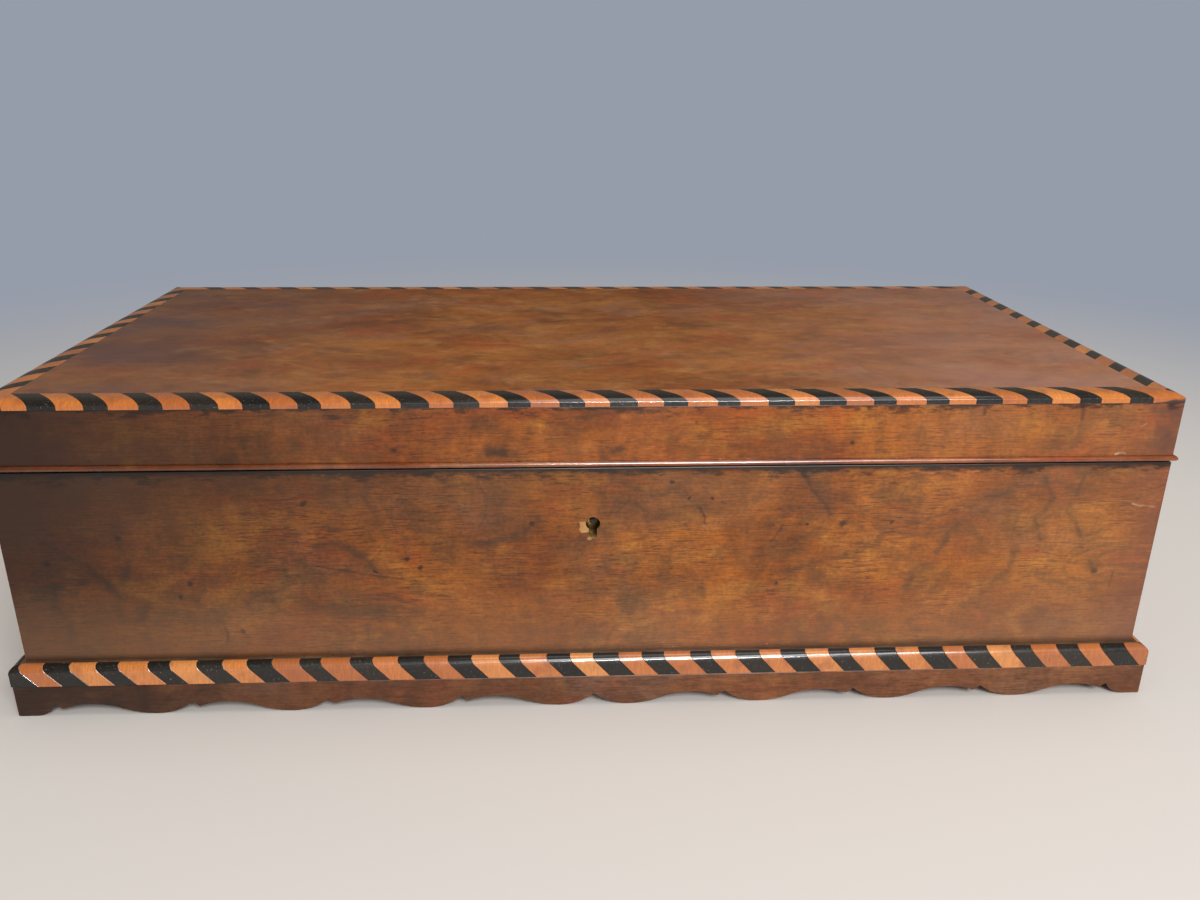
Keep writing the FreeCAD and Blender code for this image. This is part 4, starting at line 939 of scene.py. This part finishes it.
BASE_EDGING = Edging(
    "base_edging", "case", outset=BASE_OUTSET_MM, first_joint=BASE_FIRST_JOINT_MM,
    drift=BASE_DRIFT_MM, across=(1, -BASE_TWIST, BASE_SLANT),
    datum=(-FILLET_WIDTH_MM, BASE_TOP_MM), section=[
        (0.0, BASE_EDGING_BOTTOM_MM),
        (BASE_OUTSET_MM, BASE_EDGING_BOTTOM_MM),
        *arc((BASE_OUTSET_MM, BASE_SHOULDER_MM), (4.4, BASE_TOP_MM - 1.1),
             (FILLET_WIDTH_MM, BASE_TOP_MM - 0.1)),
        (FILLET_WIDTH_MM, BASE_TOP_MM - 0.1),
        (FILLET_WIDTH_MM, BASE_TOP_MM - FILLET_DROP_MM),
        (0.0, BASE_TOP_MM - FILLET_DROP_MM),
    ])
block_edging(LID_EDGING, lid_edging, seed=11)
block_edging(BASE_EDGING, base_edging, seed=12)

BEAD_WOOD = {"front": front_bead, "back": back_bead, "left": short_bead, "right": short_bead}
APRON_WOOD = {"front": front_moulding, "back": back_moulding,
              "left": short_moulding, "right": short_moulding}
for side in SIDES:
    along = side in ("front", "back")
    dressed("apron_" + side, APRON_WOOD[side], 0.5, 1.0)
    dressed("base_fillet_" + side, long_fillet if along else short_fillet, 0.2)
    dressed("lid_bead_" + side, BEAD_WOOD[side], 0.0)
dressed("case_front", front_walnut, shortest_mm=7.0)
dressed("lid_rail_front", lid_front_walnut)
for name in ("case_back", "lid_rail_back"):
    dressed(name, face_walnut)
for name in ("case_end_left", "case_end_right", "lid_rail_left", "lid_rail_right", "drawer_front"):
    dressed(name, end_walnut)
dressed("lid_top_panel", top_walnut, 0.1)
for name in ("well_partition_long", "pen_tray"):
    dressed(name, mahogany, 0.8)
for name in ("well_partition_cross", "ink_bay_dividers", "drawer_back"):
    dressed(name, mahogany_across, 0.8)
for name in ("drawer_side_near", "drawer_side_far"):
    dressed(name, mahogany, 0.5)
FINISH_OF_SLOT = {
    "plain_pine": (pine, 0.3),
    "lining_velvet": (velvet_lining, 0.3),
    "old_brass": (brass, 0.12),
    "iron": (iron, 0.0),
    "clear_glass": (clear_glass, 0.0),
}
# Parts in these slots are dressed with the finish and arris given for their slot
for name, slot in SLOT_OF.items():
    if slot in FINISH_OF_SLOT:
        piece = dressed(name, *FINISH_OF_SLOT[slot], shortest_mm=2.0)


# ---------------------------------------------------------------- stage, lights, camera

BACKDROP = "969daa"              # plain grey-blue
TABLE = "d1ccc7"                 # pale, a little warm
TABLE_REACH = 8.0                # metres from its middle to each side
FADE_FROM = 0.35                 # metres from the box where the table starts to fade
FADE_TO = 1.1                    # and where only the backdrop is left
SOFT_LIGHT = 0.40                # strength of the light from all round
MIRRORED_LIGHT = 0.38            # strength of what the polish mirrors of it
BOX_MIDDLE = (0, 0, 0.07)


def make_floor():
    """A plain pale table top that keeps the box's shadow and fades into the backdrop behind."""
    bm = bmesh.new()
    bmesh.ops.create_grid(bm, x_segments=1, y_segments=1, size=TABLE_REACH)
    mesh = bpy.data.meshes.new("floor")
    bm.to_mesh(mesh)
    bm.free()
    material, tree = new_material("pale_table")
    shader = add(tree, "ShaderNodeBsdfPrincipled", {
        "Base Color": colour(TABLE), "Roughness": 0.75, "Specular IOR Level": 0.2})
    beyond = add(tree, "ShaderNodeEmission", {"Color": colour(BACKDROP), "Strength": 1.0})
    place = add(tree, "ShaderNodeTexCoord", output="Object")
    away = add(tree, "ShaderNodeVectorMath", {0: place, 1: BOX_MIDDLE},
               operation="DISTANCE", output="Value")
    far = add(tree, "ShaderNodeMapRange", {0: away, 1: FADE_FROM, 2: FADE_TO}, **STEP)
    mixed = add(tree, "ShaderNodeMixShader", {0: far, 1: shader, 2: beyond})
    add(tree, "ShaderNodeOutputMaterial", {"Surface": mixed})
    mesh.materials.append(material)
    floor = bpy.data.objects.new("floor", mesh)
    bpy.context.scene.collection.objects.link(floor)


def make_world():
    """Soft light from all round; what is seen or mirrored of it is a plain grey."""
    world = bpy.data.worlds.new("studio")
    bpy.context.scene.world = world
    world.use_nodes = True
    tree = world.node_tree
    tree.nodes.clear()
    path = add(tree, "ShaderNodeLightPath").node
    seen = add(tree, "ShaderNodeMath", {
        0: path.outputs["Is Camera Ray"], 1: path.outputs["Is Transmission Ray"]},
        operation="MAXIMUM")
    soft = add(tree, "ShaderNodeBackground", {"Color": colour("fffaf4"), "Strength": SOFT_LIGHT})
    mirrored = add(tree, "ShaderNodeBackground", {
        "Color": colour("b0a69a"), "Strength": MIRRORED_LIGHT})
    backdrop = add(tree, "ShaderNodeBackground", {"Color": colour(BACKDROP), "Strength": 1.0})
    mixed = add(tree, "ShaderNodeMixShader", {
        0: path.outputs["Is Glossy Ray"], 1: soft, 2: mirrored})
    mixed = add(tree, "ShaderNodeMixShader", {0: seen, 1: mixed, 2: backdrop})
    add(tree, "ShaderNodeOutputWorld", {"Surface": mixed})


def make_lamp(name, place, size, watts, lights=True):
    """A soft rectangular lamp that faces the box; one that lights nothing is only mirrored."""
    lamp = bpy.data.lights.new(name, "AREA")
    lamp.shape = "RECTANGLE"
    lamp.size, lamp.size_y = size
    lamp.energy = watts
    lamp_object = bpy.data.objects.new(name, lamp)
    lamp_object.location = place
    aim = Vector(BOX_MIDDLE) - Vector(place)
    lamp_object.rotation_euler = aim.to_track_quat("-Z", "Y").to_euler()
    lamp_object.visible_diffuse = lights
    bpy.context.scene.collection.objects.link(lamp_object)


def make_camera():
    """The camera, from its named values."""
    camera = bpy.data.cameras.new("camera")
    camera.lens = CAMERA_LENS_MM
    camera.sensor_width = CAMERA_SENSOR_MM
    camera.clip_start = 0.01
    camera_object = bpy.data.objects.new("camera", camera)
    camera_object.matrix_world = Matrix.Translation(CAMERA_PLACE) @ CAMERA_TURN
    bpy.context.scene.collection.objects.link(camera_object)
    bpy.context.scene.camera = camera_object


make_floor()
make_world()
make_lamp("strip", (0.21, -1.45, 0.50), size=(0.42, 0.07), watts=20.0, lights=False)
make_lamp("front", (0.32, -1.22, 0.95), size=(0.8, 0.5), watts=19.0)
make_lamp("top", (0.3, -0.1, 1.6), size=(1.0, 0.8), watts=6.5)
make_camera()
bpy.context.scene.view_settings.view_transform = "Standard"
